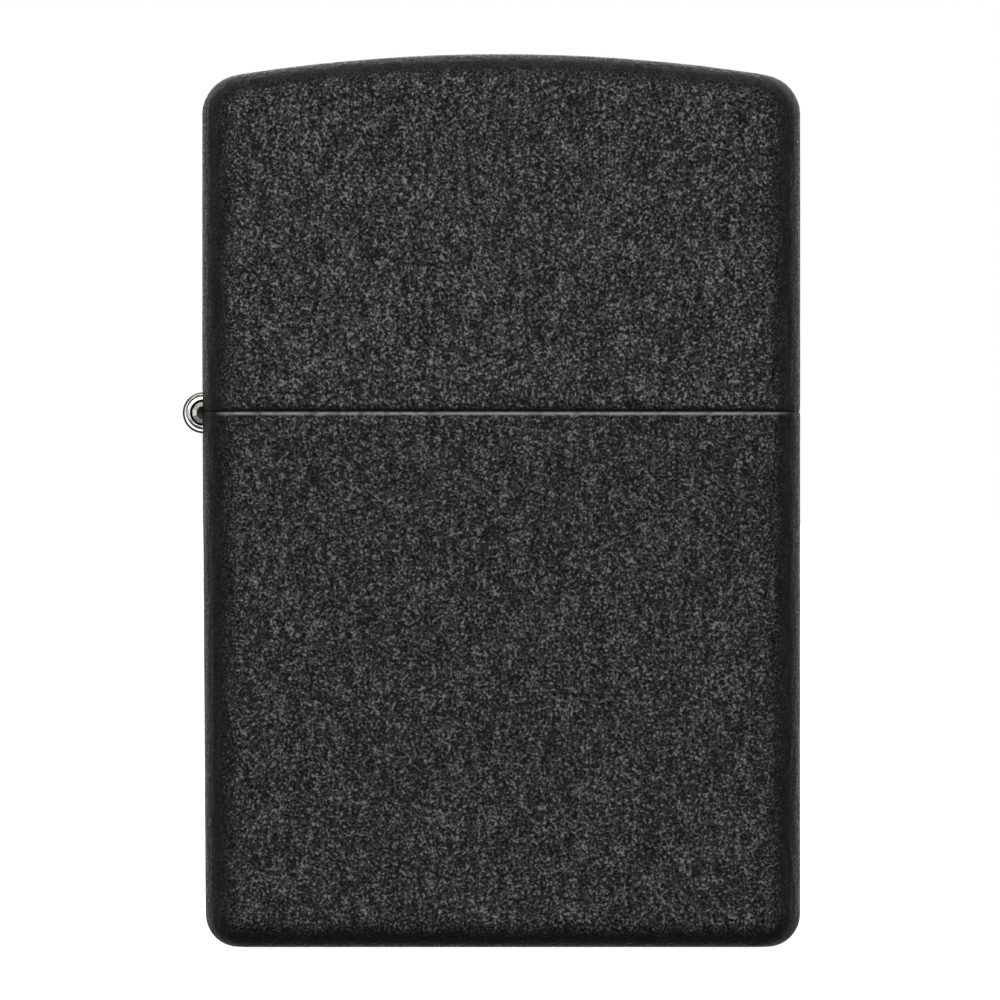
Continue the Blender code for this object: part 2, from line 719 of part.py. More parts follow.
def wick_route():
    """From the top of the wick down beside the flint tube, then back and forth through the packing."""
    upper = WICK_TURN_Z + WICK_BEND
    lower = WICK_TURN_Z - WICK_BEND
    elbow_x = WICK_LOW_X - WICK_ELBOW
    route = [(WICK_X, WICK_TOP_Z)]
    for i in range(7):
        share = i / 6
        x = WICK_X + (WICK_LOW_X - WICK_X) * ease(share)
        route.append((x, WICK_LEAN_TOP_Z + (WICK_LEAN_FOOT_Z - WICK_LEAN_TOP_Z) * share))
    route += arc((elbow_x, upper + WICK_ELBOW), WICK_ELBOW, 0, -90, 5)
    route += arc((WICK_TURN_X, WICK_TURN_Z), WICK_BEND, 90, 270, 10)
    route.append((WICK_TURN_X + WICK_RUN, lower))
    return route


def build_wick(body, cotton):
    curve = bpy.data.curves.new("wick", "CURVE")
    curve.dimensions = "3D"
    curve.bevel_depth = WICK_RADIUS
    curve.bevel_resolution = 2
    curve.use_fill_caps = True
    route = wick_route()
    spline = curve.splines.new("POLY")
    spline.points.add(len(route) - 1)
    for point, (x, z) in zip(spline.points, route):
        point.co = (x, 0, z, 1)
    curve.materials.append(cotton)
    piece = bpy.data.objects.new("wick", curve)
    piece.parent = body
    bpy.context.scene.collection.objects.link(piece)


def packing_spans():
    """(left, right, bottom, top) of each pad of packing, around the wick's runs and the flint tube."""
    tube_left = WHEEL_X - TUBE_RADIUS - PAD_TO_TUBE
    tube_right = WHEEL_X + TUBE_RADIUS + PAD_TO_TUBE
    wall = TANK_HALF_X - TANK_WALL - PAD_TO_WALL
    clear = WICK_RADIUS + PAD_TO_WICK
    upper = WICK_TURN_Z + WICK_BEND
    lower = WICK_TURN_Z - WICK_BEND
    foot = FELT_TOP_Z + PAD_GAP
    return [
        (UPPER_PAD_LEFT, WICK_X - clear, upper + clear, PAD_TOP_Z),
        (MIDDLE_PAD_LEFT, tube_left, lower + clear, upper - clear),
        (-wall, tube_left, foot, lower - clear),
        (tube_right, wall, foot, PAD_SPLIT_Z - PAD_GAP),
        (tube_right, wall, PAD_SPLIT_Z + PAD_GAP, PAD_TOP_Z),
    ]


def build_packing(body, cotton):
    for number, (left, right, low, high) in enumerate(packing_spans(), start=1):
        pad = box((left, -PAD_HALF_Y, low), (right, PAD_HALF_Y, high))
        piece = add_piece(f"packing_{number}", pad, cotton, body)
        bevel = piece.modifiers.new("rounding", "BEVEL")
        bevel.width = PAD_ROUNDING
        bevel.segments = 3


def build_felt(body, felt):
    inset = TANK_WALL + FELT_GAP
    outline = rounded_outline(TANK_HALF_X - inset, TANK_HALF_Y - inset, TANK_CORNER - inset, 5, 0)
    piece = add_piece("felt_pad", prism(outline, FELT_FOOT_Z, FELT_TOP_Z, "Z"), felt, body)
    hole = rod(SCREW_HEAD_RADIUS + PAD_TO_WALL, -THROUGH, THROUGH, (WHEEL_X, 0, 0), "Z")
    cut(piece, "felt_hole", hole)


def main():
    clear_scene()
    paint = make_material("black_crackle", (0.012, 0.012, 0.013), 0.55, 0.0)
    hinge_metal = make_material("hinge_steel", (0.62, 0.6, 0.58), 0.25, 1.0)
    steel = make_material("insert_steel", (0.66, 0.65, 0.63), 0.3, 1.0)
    wheel_metal = make_material("wheel_steel", (0.22, 0.21, 0.2), 0.45, 1.0)
    spring_metal = make_material("spring_steel", (0.5, 0.5, 0.5), 0.3, 1.0)
    brass = make_material("brass", (0.78, 0.57, 0.28), 0.35, 1.0)
    alloy = make_material("flint_alloy", (0.18, 0.17, 0.17), 0.6, 1.0)
    cotton = make_material("cotton", (0.83, 0.8, 0.74), 0.95, 0.0)
    felt = make_material("felt", (0.72, 0.7, 0.66), 0.98, 0.0)

    case = make_body("case_body", ORIGIN)
    lid = make_body("lid_body", Vector((HINGE_X, 0, HINGE_Z)))
    insert = make_body("insert_body", ORIGIN)
    wheel = make_body("wheel_body", Vector((WHEEL_X, 0, WHEEL_Z)))
    cam = make_body("cam_body", Vector((CAM_X, 0, CAM_Z)))
    feed = make_body("feed_body", Vector((WHEEL_X, 0, flint_top())))

    build_base(case, paint)
    build_leaf("hinge_leaf_base", case, hinge_metal, -1, (0, 2, 4))
    build_hinge_pin(case, hinge_metal)
    build_lid(lid, paint)
    build_leaf("hinge_leaf_lid", lid, hinge_metal, 1, (1, 3))

    build_tank(insert, steel)
    build_chimney(insert, steel)
    build_rivet("wheel_rivet", insert, steel, wheel.location, "Y", WHEEL_PIN, EAR_HALF_Y, WHEEL_HEAD)
    build_rivet("cam_rivet", insert, steel, cam.location, "Y", CAM_PIN, CHIMNEY_HALF_Y, CAM_HEAD)
    half_stack = (TANK_WALL + LEAF_SPRING_GAP + LEAF_SPRING) / 2
    stack_centre = Vector((half_stack - TANK_HALF_X, 0, SPRING_RIVET_Z))
    build_rivet(
        "spring_rivet", insert, steel, stack_centre, "X", SPRING_RIVET, half_stack, SPRING_RIVET_HEAD
    )
    build_cam_spring(insert, spring_metal)
    build_flint_tube(insert, brass)
    build_flint_spring(insert, spring_metal)
    build_flint_screw(insert, brass)
    build_wick(insert, cotton)
    build_packing(insert, cotton)
    build_felt(insert, felt)

    build_wheel(wheel, wheel_metal)
    build_cam(cam, steel)
    build_flint(feed, alloy)
    build_follower(feed, brass)


main()
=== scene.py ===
"""Looks of the flip-top pocket lighter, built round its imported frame.

Every CAD node is replaced by a finer piece of the same place and size, in metres: X across the wide
face with the hinge at -X, the front face at -Y, +Z up. Heights and outlines come from the nodes' boxes.
"""

import json
import math
import random

import bmesh
import bpy
import numpy as np
from mathutils import Matrix, Vector, noise


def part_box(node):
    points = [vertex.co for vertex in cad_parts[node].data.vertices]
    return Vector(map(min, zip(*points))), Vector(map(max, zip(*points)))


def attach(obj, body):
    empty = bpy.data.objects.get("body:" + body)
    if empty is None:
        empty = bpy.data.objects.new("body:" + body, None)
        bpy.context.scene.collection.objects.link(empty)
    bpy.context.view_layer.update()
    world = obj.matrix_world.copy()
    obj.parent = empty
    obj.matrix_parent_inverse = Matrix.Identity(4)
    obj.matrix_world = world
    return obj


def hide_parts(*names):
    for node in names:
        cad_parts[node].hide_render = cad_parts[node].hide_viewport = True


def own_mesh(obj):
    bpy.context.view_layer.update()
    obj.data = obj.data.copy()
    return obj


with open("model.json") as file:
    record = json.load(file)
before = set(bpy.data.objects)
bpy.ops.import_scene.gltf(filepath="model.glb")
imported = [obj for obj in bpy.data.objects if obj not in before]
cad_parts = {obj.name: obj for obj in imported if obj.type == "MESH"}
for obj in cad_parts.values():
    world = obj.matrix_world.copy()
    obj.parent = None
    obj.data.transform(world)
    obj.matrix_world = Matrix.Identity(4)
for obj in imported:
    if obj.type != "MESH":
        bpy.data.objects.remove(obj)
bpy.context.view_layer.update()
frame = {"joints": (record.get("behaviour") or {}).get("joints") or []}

MM = 0.001
joint_places = {joint["name"]: joint.get("pos_m") for joint in frame["joints"]}

# Case
CASE_WALL = 0.65 * MM
CASE_CORNER = 2.8 * MM
CASE_EDGE = 2.05 * MM
CROWN_RADIUS = 108.7 * MM
BASE_TAPER = 0.0115  # the base narrows by this share of its half width, on the hinge side
BASE_LIP = 0.3 * MM
LID_LIP = 0.6 * MM
LIP_DEPTH = 0.55  # how far a rim turns in, as a share of the height over which it does
LIP_SHARE_X = 0.2  # the rims are rounded less on the narrow ends
SEAM_CLOSE = 0.1 * MM  # how far the lid's painted rim reaches into the gap between the shells
WEAR_AND_HIGHLIGHT_DEPTH = 0.1 * MM  # middle of the worn line below the base's rim, whose bare metal is painted bright partly as a painted highlight of the rounded rim
WEAR_AND_HIGHLIGHT_HALF = 0.11 * MM
WEAR_AND_HIGHLIGHT_END = 0.9 * MM
PAINT_CELL = 0.36 * MM  # mesh spacing on the painted faces
PAINT_WAVE = 0.009 * MM  # height of the paint's slow waves
PAINT_MARGIN = 1.2 * MM  # where those waves fade out towards a rim
PAINT_SMOOTH = 1.1 * MM  # the paint runs smooth and is painted darker, as painted shade, this far round the hinge's axis
PAINT_FADE = 0.3 * MM

# Hinge
HINGE = Vector(joint_places["lid_hinge"])
HINGE_LENGTH = 7.8 * MM
KNUCKLES = 5
KNUCKLE_GAP = 0.08 * MM
BARREL_BORE = 0.86 * MM
LEAF_NEAR = 1.45 * MM
LEAF_INSET = 0.1 * MM
LEAF_THICKNESS = 0.44 * MM
ROLL_STEPS = 72
WELD_BALL = 2.0 * MM
WELD_SINK = 0.08 * MM
WELD_Y = 2.2 * MM
WELD_HEIGHTS = (0.45, 0.8)  # shares of the leaf's height
NOTCH_RADIUS = 1.44 * MM
NOTCH_SIDE = 0.1 * MM
NOTCH_OUT = 2.0 * MM
NOTCH_IN = 1.6 * MM
GROOVE_RADIUS = 1.055 * MM  # line turned into the end of the barrel
GROOVE_HALF = 0.085 * MM
GROOVE_SLOPE = 0.5
BARREL_CHAMFER = 0.135 * MM
CUTTER_SPARE = 0.08 * MM
PIN_FACETS = 9
PIN_FACET_RADIUS = 0.45 * MM
PIN_SHOULDER = 0.7 * MM
PAINTED_GLINT_FACET = 4  # the one kept in the bright plated metal as a painted glint, counted round the pin

# Insert
TANK_CORNER = 2.35 * MM
TANK_EDGE = 1.2 * MM
TANK_WALL = 0.4 * MM
TANK_LIP = 0.12 * MM
SNUG = 0.05 * MM
FREE = 0.06 * MM
LOOSE = 0.12 * MM
SHEET = 0.45 * MM
CHIMNEY_EDGE_X = 2.4 * MM  # the chimney's wheel side, above the ears
CHIMNEY_CORNER = 2.2 * MM
EAR_HALF_Y = 3.2 * MM
EAR_RADIUS = 2.5 * MM
EAR_STEP = 1.4 * MM
EAR_STEP_RISE = 3.4 * MM
VENT_RADIUS = 0.95 * MM
VENT_PITCH_X = 3.5 * MM
VENT_PITCH_Z = 2.7 * MM
VENT_CENTRE = (-4.9 * MM, 45.6 * MM)
VENT_ROWS = ((1, 3), (0, 2), (-1, 3))
NOSE_SLOT_HALF_Y = 1.5 * MM
NOSE_SLOT_TOP_Z = 40.9 * MM

# Wheel, flint train and cam
WHEEL = Vector(joint_places["wheel_spin"])
WHEEL_TEETH = 36
TOOTH_POINTS = 8
TOOTH_DEPTH = 0.32 * MM
TOOTH_RISE = 0.75  # share of a tooth's pitch that climbs
TOOTH_SLANT = 2.6 * MM
CROSS_PITCH = 0.62 * MM
CROSS_DEPTH = 0.13 * MM
WHEEL_ROWS = 44
WHEEL_CHAMFER = 0.3 * MM
WHEEL_DISH = ((1.7 * MM, 0.0), (1.8 * MM, 0.16 * MM), (2.75 * MM, 0.16 * MM), (2.85 * MM, 0.0))
WHEEL_BORE = 1.02 * MM
WHEEL_PIN = 0.95 * MM
CAM = Vector(joint_places["cam_pivot"])
CAM_PIN = 0.8 * MM
CAM_BORE = 0.86 * MM
CAM_BOSS = 1.55 * MM
CAM_ARMPIT = (-2.1 * MM, -0.8 * MM)
NOSE = (-16.7 * MM, 38.9 * MM)
NOSE_RADIUS = 1.1 * MM
TAIL = (-11.3 * MM, 32.9 * MM)
TAIL_RADIUS = 0.65 * MM
CAM_SLOT = (-3.1 * MM, 1.8 * MM)
CAM_SLOT_HALF_Y = 1.55 * MM
TUBE_BORE = 1.34 * MM
SPRING_FOOT_Z = 8.3 * MM
SPRING_WIRE = 0.19 * MM
SPRING_TURNS = 15
SPRING_RIVET_Z = 22.0 * MM
SPRING_RIVET = 0.5 * MM
LEAF_SPRING = 0.3 * MM
LEAF_SPRING_GAP = 0.1 * MM

# Wick
WICK_X = -0.8 * MM
WICK_RADIUS = 1.3 * MM
WICK_LOW_X = 2.6 * MM
WICK_LEAN = (34.2 * MM, 29.2 * MM)
WICK_ELBOW = 2.6 * MM
WICK_BEND = 4.8 * MM
WICK_TURN = (-10.8 * MM, 18.4 * MM)
WICK_RUN = 12.8 * MM
WICK_STEP = 0.25 * MM
WICK_PITCH = 5.2 * MM
STRANDS = 7
YARN_RADIUS = 0.25 * MM
WEAVE = 0.07 * MM
TUFT_CELL = 0.6 * MM

# All pieces
CURVE_STEPS = 8  # steps round a drawn edge or corner
POLE = 0.02 * MM  # the small flat left in the middle of a turned end
THROUGH = 20 * MM
REACH = 2 * MM
TO_AXIS = {"X": Matrix.Rotation(math.pi / 2, 4, "Y"), "Y": Matrix.Rotation(-math.pi / 2, 4, "X")}

# Paint
PAINTED_SHADE_AND_HIGHLIGHT_STOPS = ((0.0, 0.0005), (0.3, 0.009), (0.5, 0.028), (0.7, 0.068), (1.0, 0.2))
PAINT_RANGE = (0.42, 0.73)  # heights of the darkest and the lightest shade; the paint is painted near black in its pits as painted shade and light on its crests as painted highlight
PAINT_MEAN = 0.4885
PAINT_BLUE = 1.012
# Bare metal through worn paint on the base's rim, painted light enough to be partly a painted highlight of
# the rim catching light from above
WORN_METAL_AND_HIGHLIGHT = (0.33, 0.32, 0.315)


# ---- mesh helpers


def to_object(name, bm):
    bmesh.ops.recalc_face_normals(bm, faces=bm.faces)
    mesh = bpy.data.meshes.new(name)
    bm.to_mesh(mesh)
    bm.free()
    made = bpy.data.objects.new(name, mesh)
    bpy.context.scene.collection.objects.link(made)
    return made


def apply_modifiers(piece):
    """Replaces a piece's mesh by what its modifiers make of it."""
    depsgraph = bpy.context.evaluated_depsgraph_get()
    depsgraph.update()
    mesh = bpy.data.meshes.new_from_object(piece.evaluated_get(depsgraph), depsgraph=depsgraph)
    piece.modifiers.clear()
    old, piece.data = piece.data, mesh
    mesh.name = piece.name
    bpy.data.meshes.remove(old)


def modify(piece, kind, **settings):
    """Adds a modifier with its settings and applies it."""
    modifier = piece.modifiers.new(kind, kind)
    for key, value in settings.items():
        setattr(modifier, key, value)
    apply_modifiers(piece)


def bevel(piece, width, segments, angle=40):
    limit = math.radians(angle)
    modify(piece, "BEVEL", width=width, segments=segments, limit_method="ANGLE", angle_limit=limit)


def voxels(piece, size):
    modify(piece, "REMESH", mode="VOXEL", voxel_size=size)


def cut(piece, *shapes):
    """Takes closed shapes from a piece, one Boolean each."""
    cutters = [to_object(f"cutter_{number}", shape) for number, shape in enumerate(shapes)]
    for cutter in cutters:
        modifier = piece.modifiers.new(cutter.name, "BOOLEAN")
        modifier.operation = "DIFFERENCE"
        modifier.solver = "EXACT"
        modifier.object = cutter
    apply_modifiers(piece)
    for cutter in cutters:
        mesh = cutter.data
        bpy.data.objects.remove(cutter)
        bpy.data.meshes.remove(mesh)


def finish_piece(piece, materials, body, node, sharp_degrees=30):
    """Shades a piece, gives it its materials, hangs it on its body and hides the CAD node it stands for.
    """
    mesh = piece.data
    mesh.shade_smooth()
    mesh.set_sharp_from_angle(angle=math.radians(sharp_degrees))
    kept = [polygon.material_index for polygon in mesh.polygons]
    mesh.materials.clear()
    for material in materials:
        mesh.materials.append(material)
    mesh.polygons.foreach_set("material_index", kept)
    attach(piece, body)
    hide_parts(node)


def arc(centre, radius, start, end, steps):
    """Points from start to end, in degrees, both included."""
    points = []
    for i in range(steps + 1):
        angle = math.radians(start + (end - start) * i / steps)
        points.append((centre[0] + radius * math.cos(angle), centre[1] + radius * math.sin(angle)))
    return points


def circle(radius, count, z):
    """A ring of points about Z, at one height."""
    angles = [math.tau * i / count for i in range(count)]
    return [(radius * math.cos(a), radius * math.sin(a), z) for a in angles]


def rounded_outline(half_x, half_y, corner, arc_steps, along_x, along_y):
    """A rounded rectangle seen from above, the same front and back, with points along its sides."""
    x, y = half_x - corner, half_y - corner
    side = [y * (2 * i + 1) / (2 * along_y) for i in range(along_y)]
    back = [(half_x, at) for at in side]
    back += arc((x, y), corner, 0, 90, arc_steps)
    back += [(x * (1 - 2 * (i + 1) / (along_x + 1)), half_y) for i in range(along_x)]
    back += arc((-x, y), corner, 90, 180, arc_steps)
    back += [(-half_x, at) for at in reversed(side)]
    return back + [(px, -py) for px, py in reversed(back)]


def close_in_strips(bm, row):
    """Fills a ring whose front half mirrors its back half with strips across it."""
    last = len(row) - 1
    for i in range(len(row) // 2 - 1):
        bm.faces.new((row[i], row[i + 1], row[last - i - 1], row[last - i]))


def skin(bm, rings, ends):
    """Joins rings of equal length with quads, and returns the new faces.

    The first and last ring are joined by a "loop", or each closed by one of the "caps" or by "strips".
    """
    rows = [[bm.verts.new(point) for point in ring] for ring in rings]
    pairs = list(zip(rows, rows[1:]))
    if ends == "loop":
        pairs.append((rows[-1], rows[0]))
    count = len(rows[0])
    faces = []
    for low, high in pairs:
        for i in range(count):
            j = (i + 1) % count
            faces.append(bm.faces.new((low[i], low[j], high[j], high[i])))
    for row in (rows[0], rows[-1]):
        if ends == "caps":
            faces.append(bm.faces.new(row))
        elif ends == "strips":
            close_in_strips(bm, row)
    return faces


def towards_middle(border, reach, share, end_z):
    """A ring moved by a share of the way to the middle line of a closed end."""
    ring = []
    for x, y in border:
        at = x + (max(-reach, min(reach, x)) - x) * share
        ring.append((at, y * (1 - share), end_z(at)))
    return ring


def flat_end(z):
    return lambda x: z


def crowned_end(z):
    return lambda x: z - CROWN_RADIUS + math.sqrt(CROWN_RADIUS**2 - x**2)


def cup_skin(half_x, half_y, corner, edge, rim_z, end_z, lip, cell, rows, cap_rows):
    """Rings of one face of a cup, from its rim over its rounded edge to the middle of its closed end."""
    up = 1 if end_z(0) > rim_z else -1
    along_x = max(int(2 * (half_x - corner) / cell), 1)
    along_y = max(int((half_y - corner) / cell), 1)

    def outline(inset, share_x=1.0):
        x = half_x - inset * share_x
        return rounded_outline(x, half_y - inset, corner - inset, CURVE_STEPS, along_x, along_y)

    rings = []
    lip_z = rim_z + up * abs(lip)
    quarter = [math.pi / 2 * i / CURVE_STEPS for i in range(CURVE_STEPS + 1)]
    for angle in quarter:
        z = rim_z + up * abs(lip) * (1 - math.cos(angle))
        inset = lip * LIP_DEPTH * (1 - math.sin(angle))
        rings.append([(x, y, z) for x, y in outline(inset, LIP_SHARE_X)])
    for i in range(1, rows):
        ring = [(x, y, lip_z + (end_z(x) - up * edge - lip_z) * i / rows) for x, y in outline(0)]
        rings.append(ring)
    for angle in quarter:
        drop = up * edge * (1 - math.sin(angle))
        rings.append([(x, y, end_z(x) - drop) for x, y in outline(edge * (1 - math.cos(angle)))])
    for i in range(1, cap_rows):
        rings.append(towards_middle(outline(edge), half_x - half_y, i / cap_rows, end_z))
    return rings


def cup(half_x, half_y, corner, edge, wall, rim_z, end_z, lip, cell, taper=0.0):
    """A drawn cup of even wall with one closed end. Its outer face has cells of the given size."""
    up = 1 if end_z(0) > rim_z else -1
    rows = max(int(abs(end_z(0) - rim_z) / cell), 2)
    cap_rows = max(int(half_y / cell), 3)
    sizes = (half_x, half_y, corner, edge)
    outer = cup_skin(*sizes, rim_z, end_z, lip, cell, rows, cap_rows)
    smaller = [size - wall for size in sizes]
    inner = cup_skin(*smaller, rim_z, lambda x: end_z(x) - up * wall, -lip / 4, cell, 4, 3)
    rings = outer[::-1] + inner
    if taper:
        for ring in rings:
            ring[:] = [(x - min(x, 0.0) * taper * (1 - z / rim_z), y, z) for x, y, z in ring]
    bm = bmesh.new()
    skin(bm, rings, "strips")
    return bm


def prism(outline, low, high, axis):
    """An outline extruded along Y (outline in X and Z) or Z (outline in X and Y)."""
    bm = bmesh.new()
    if axis == "Y":
        verts = [bm.verts.new((a, low, b)) for a, b in outline]
        reach = Vector((0, high - low, 0))
    else:
        verts = [bm.verts.new((a, b, low)) for a, b in outline]
        reach = Vector((0, 0, high - low))
    face = bm.faces.new(verts)
    grown = bmesh.ops.extrude_face_region(bm, geom=[face])
    moved = [item for item in grown["geom"] if isinstance(item, bmesh.types.BMVert)]
    bmesh.ops.translate(bm, verts=moved, vec=reach)
    return bm


def block(low, high):
    corners = [(low[0], low[1]), (high[0], low[1]), (high[0], high[1]), (low[0], high[1])]
    return prism(corners, low[2], high[2], "Z")


def turned(profile, position, axis, segments=64, ring=False):
    """A profile of (radius, distance) points turned about an axis. A ring's profile is a closed loop."""
    bm = bmesh.new()
    skin(bm, [circle(radius, segments, along) for radius, along in profile], "loop" if ring else "caps")
    turn = TO_AXIS.get(axis, Matrix.Identity(4))
    bmesh.ops.transform(bm, matrix=Matrix.Translation(position) @ turn, verts=bm.verts)
    return bm


def rod(radius, low, high, position, axis, segments=48):
    return turned([(radius, low), (radius, high)], position, axis, segments)


def dome(radius, rise):
    """Nine (radius, height) points of a low dome, from its rim to its pole."""
    quarter = [math.pi / 2 * i / 8 for i in range(9)]
    return [(max(radius * math.cos(a), POLE), rise * math.sin(a)) for a in quarter]


def sweep(bm, routes, radius, sides):
    """Adds tubes of round section along 3-D routes, and returns their faces."""
    faces = []
    for route in routes:
        points = [Vector(point) for point in route]
        rings = []
        side = None
        for i, point in enumerate(points):
            run = (points[min(i + 1, len(points) - 1)] - points[max(i - 1, 0)]).normalized()
            if side is None:
                side = run.orthogonal().normalized()
            side = (side - run * side.dot(run)).normalized()
            other = run.cross(side)
            turns = [math.tau * k / sides for k in range(sides)]
            rings.append([point + (side * math.cos(a) + other * math.sin(a)) * radius for a in turns])
        faces += skin(bm, rings, "caps")
    return faces


def ease(share):
    """Runs from 0 to 1 with a level start and end."""
    return share * share * (3 - 2 * share)


def offset_path(points, thickness):
    """The outline of a strip of even thickness whose middle line is an open path."""
    left, right = [], []
    for i, point in enumerate(points):
        before = Vector(points[max(i - 1, 0)])
        after = Vector(points[min(i + 1, len(points) - 1)])
        run = (after - before).normalized()
        step = Vector((-run.y, run.x)) * (thickness / 2)
        left.append(tuple(Vector(point) + step))
        right.append(tuple(Vector(point) - step))
    return left + right[::-1]


def half_of(node):
    low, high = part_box(node)
    return (high - low) / 2


# ---- materials


class Nodes:
    """A node tree, built from short calls that return output sockets."""

    def __init__(self, tree):
        self.nodes, self.links = tree.nodes, tree.links

    def add(self, kind, inputs, **settings):
        """A node with its settings, and its inputs linked to sockets or set to values."""
        node = self.nodes.new("ShaderNode" + kind)
        for key, value in settings.items():
            setattr(node, key, value)
        for key, value in inputs.items():
            if isinstance(value, bpy.types.NodeSocket):
                self.links.new(value, node.inputs[key])
            else:
                node.inputs[key].default_value = value
        return node

    def math(self, operation, first, second=0.0, third=0.0, clamp=False):
        inputs = {0: first, 1: second, 2: third}
        return self.add("Math", inputs, operation=operation, use_clamp=clamp).outputs[0]

    def total(self, *parts):
        """The sum of (value, weight) pairs."""
        (value, weight), *others = parts
        result = self.math("MULTIPLY", value, weight)
        for value, weight in others:
            result = self.math("MULTIPLY_ADD", value, weight, result)
        return result

    def reach(self, value, low, high, to_low=0.0, to_high=1.0, kind="LINEAR"):
        """A value carried straight from one range to another and kept inside it."""
        inputs = {"Value": value, "From Min": low, "From Max": high, "To Min": to_low, "To Max": to_high}
        return self.add("MapRange", inputs, interpolation_type=kind).outputs["Result"]

    def span(self, *ranges):
        """The same, eased at both ends."""
        return self.reach(*ranges, kind="SMOOTHSTEP")

    def mix(self, share, first, second):
        """A mix of two numbers."""
        inputs = {"Factor": share, "A": first, "B": second}
        return self.add("Mix", inputs, data_type="FLOAT").outputs[0]


class Graph(Nodes):
    """A material's node tree."""

    def __init__(self, name, **uniform):
        self.material = bpy.data.materials.new(name)
        self.material.use_nodes = True
        super().__init__(self.material.node_tree)
        self.shader = self.nodes["Principled BSDF"]
        for socket, value in uniform.items():
            self.shader.inputs[socket.replace("_", " ")].default_value = value

    def place(self, stretch=(1, 1, 1)):
        """Coordinates on the piece in millimetres, stretched along each axis."""
        coordinates = self.add("TexCoord", {}).outputs["Object"]
        scale = [share / MM for share in stretch]
        return self.add("Mapping", {"Vector": coordinates, "Scale": scale}).outputs["Vector"]

    def noise(self, vector, scale, detail=2.0, roughness=0.5, distortion=0.0):
        inputs = {"Vector": vector, "Scale": scale, "Detail": detail}
        inputs.update({"Roughness": roughness, "Distortion": distortion})
        return self.add("TexNoise", inputs).outputs["Fac"]

    def ridges(self, *noise_settings):
        """Noise turned into thin crests where it crosses its middle."""
        away = self.math("ABSOLUTE", self.math("SUBTRACT", self.noise(*noise_settings), 0.5))
        return self.math("SUBTRACT", 1.0, self.math("MULTIPLY", away, 2.0))

    def colours(self, value, *stops):
        """A colour ramp of (place, (red, green, blue)) stops."""
        node = self.add("ValToRGB", {"Fac": value})
        elements = node.color_ramp.elements
        while len(elements) < len(stops):
            elements.new(0.5)
        for element, (place, colour) in zip(elements, stops):
            element.position = place
            element.color = (*colour, 1)
        return node.outputs["Color"]

    def blend(self, share, *colours, how="MIX"):
        """A mix of two colours."""
        first, second = [c if isinstance(c, bpy.types.NodeSocket) else (*c, 1) for c in colours]
        inputs = {0: share, 6: first, 7: second}
        return self.add("Mix", inputs, data_type="RGBA", blend_type=how).outputs[2]

    def attribute(self, name):
        return self.add("Attribute", {}, attribute_name=name).outputs["Fac"]

    def bump(self, height, distance, **normal):
        return self.add("Bump", {"Height": height, "Distance": distance, **normal}).outputs["Normal"]

    def finish(self, **sockets):
        for socket, value in sockets.items():
            self.links.new(value, self.shader.inputs[socket.replace("_", " ")])
        return self.material


def crackle_paint(name, tone):
    """Black crackle powder coat whose colour follows its relief: light crests as painted highlight and
    near-black pits as painted shade, darker towards the edges and the hinge as painted shade, and worn
    bright along the rim, partly as a painted highlight.
    """
    graph = Graph(name, Metallic=0.0, IOR=1.5, Specular_IOR_Level=0.22)
    place = graph.place()
    grains = graph.noise(place, 5.4, 0.0, 0.5, 0.15)
    grit = graph.noise(place, 7.6, 0.0)
    curls = graph.ridges(place, 3.0, 0.0, 0.5, 0.8)
    long = graph.place((1.0, 1.0, 0.25))
    folds = graph.ridges(long, 1.0, 0.0, 0.5, 0.4)
    streaks = graph.noise(long, 2.2, 0.0, 0.5, 0.3)
    raised = graph.total((grains, 0.32), (grit, 0.41), (curls, 0.03), (folds, 0.045), (streaks, 0.12))
    grain_and_edge_shade = graph.attribute("grain_and_edge_shade")
    flat = graph.reach(grain_and_edge_shade, 0.0, 1.0, 0.25, 1.0)
    # Towards the edges and the hinge the paint's height, and with it its colour, drops: painted shade on
    # the rounded edges and beside the hinge.
    edge_shade_level = graph.reach(grain_and_edge_shade, 0.0, 1.0, 0.507, 0.565)
    height = graph.math("MULTIPLY_ADD", graph.math("SUBTRACT", raised, PAINT_MEAN), flat, edge_shade_level)
    # The colour follows the relief's height: near black in the pits as painted shade, light on the crests
    # as painted highlight.
    stops = [(at, (shade * tone, shade * tone, shade * tone * PAINT_BLUE)) for at, shade in PAINTED_SHADE_AND_HIGHLIGHT_STOPS]
    colour = graph.colours(graph.reach(height, *PAINT_RANGE), *stops)
    patchy = graph.span(graph.noise(place, 1.4, 2.0), 0.3, 0.6, 0.35, 1.0)
    # The rim line: worn bare metal, painted light enough to be partly a painted highlight of the rounded
    # rim.
    worn_and_highlit = graph.math("MULTIPLY", graph.attribute("wear_and_highlight"), patchy, clamp=True)
    colour = graph.blend(worn_and_highlit, colour, WORN_METAL_AND_HIGHLIGHT)
    rough = graph.reach(height, *PAINT_RANGE, 0.7, 0.3)
    relief = graph.bump(graph.math("ADD", folds, streaks), 0.05 * MM)
    normal = graph.bump(height, 0.15 * MM, Normal=relief)
    return graph.finish(Base_Color=colour, Roughness=rough, Normal=normal)


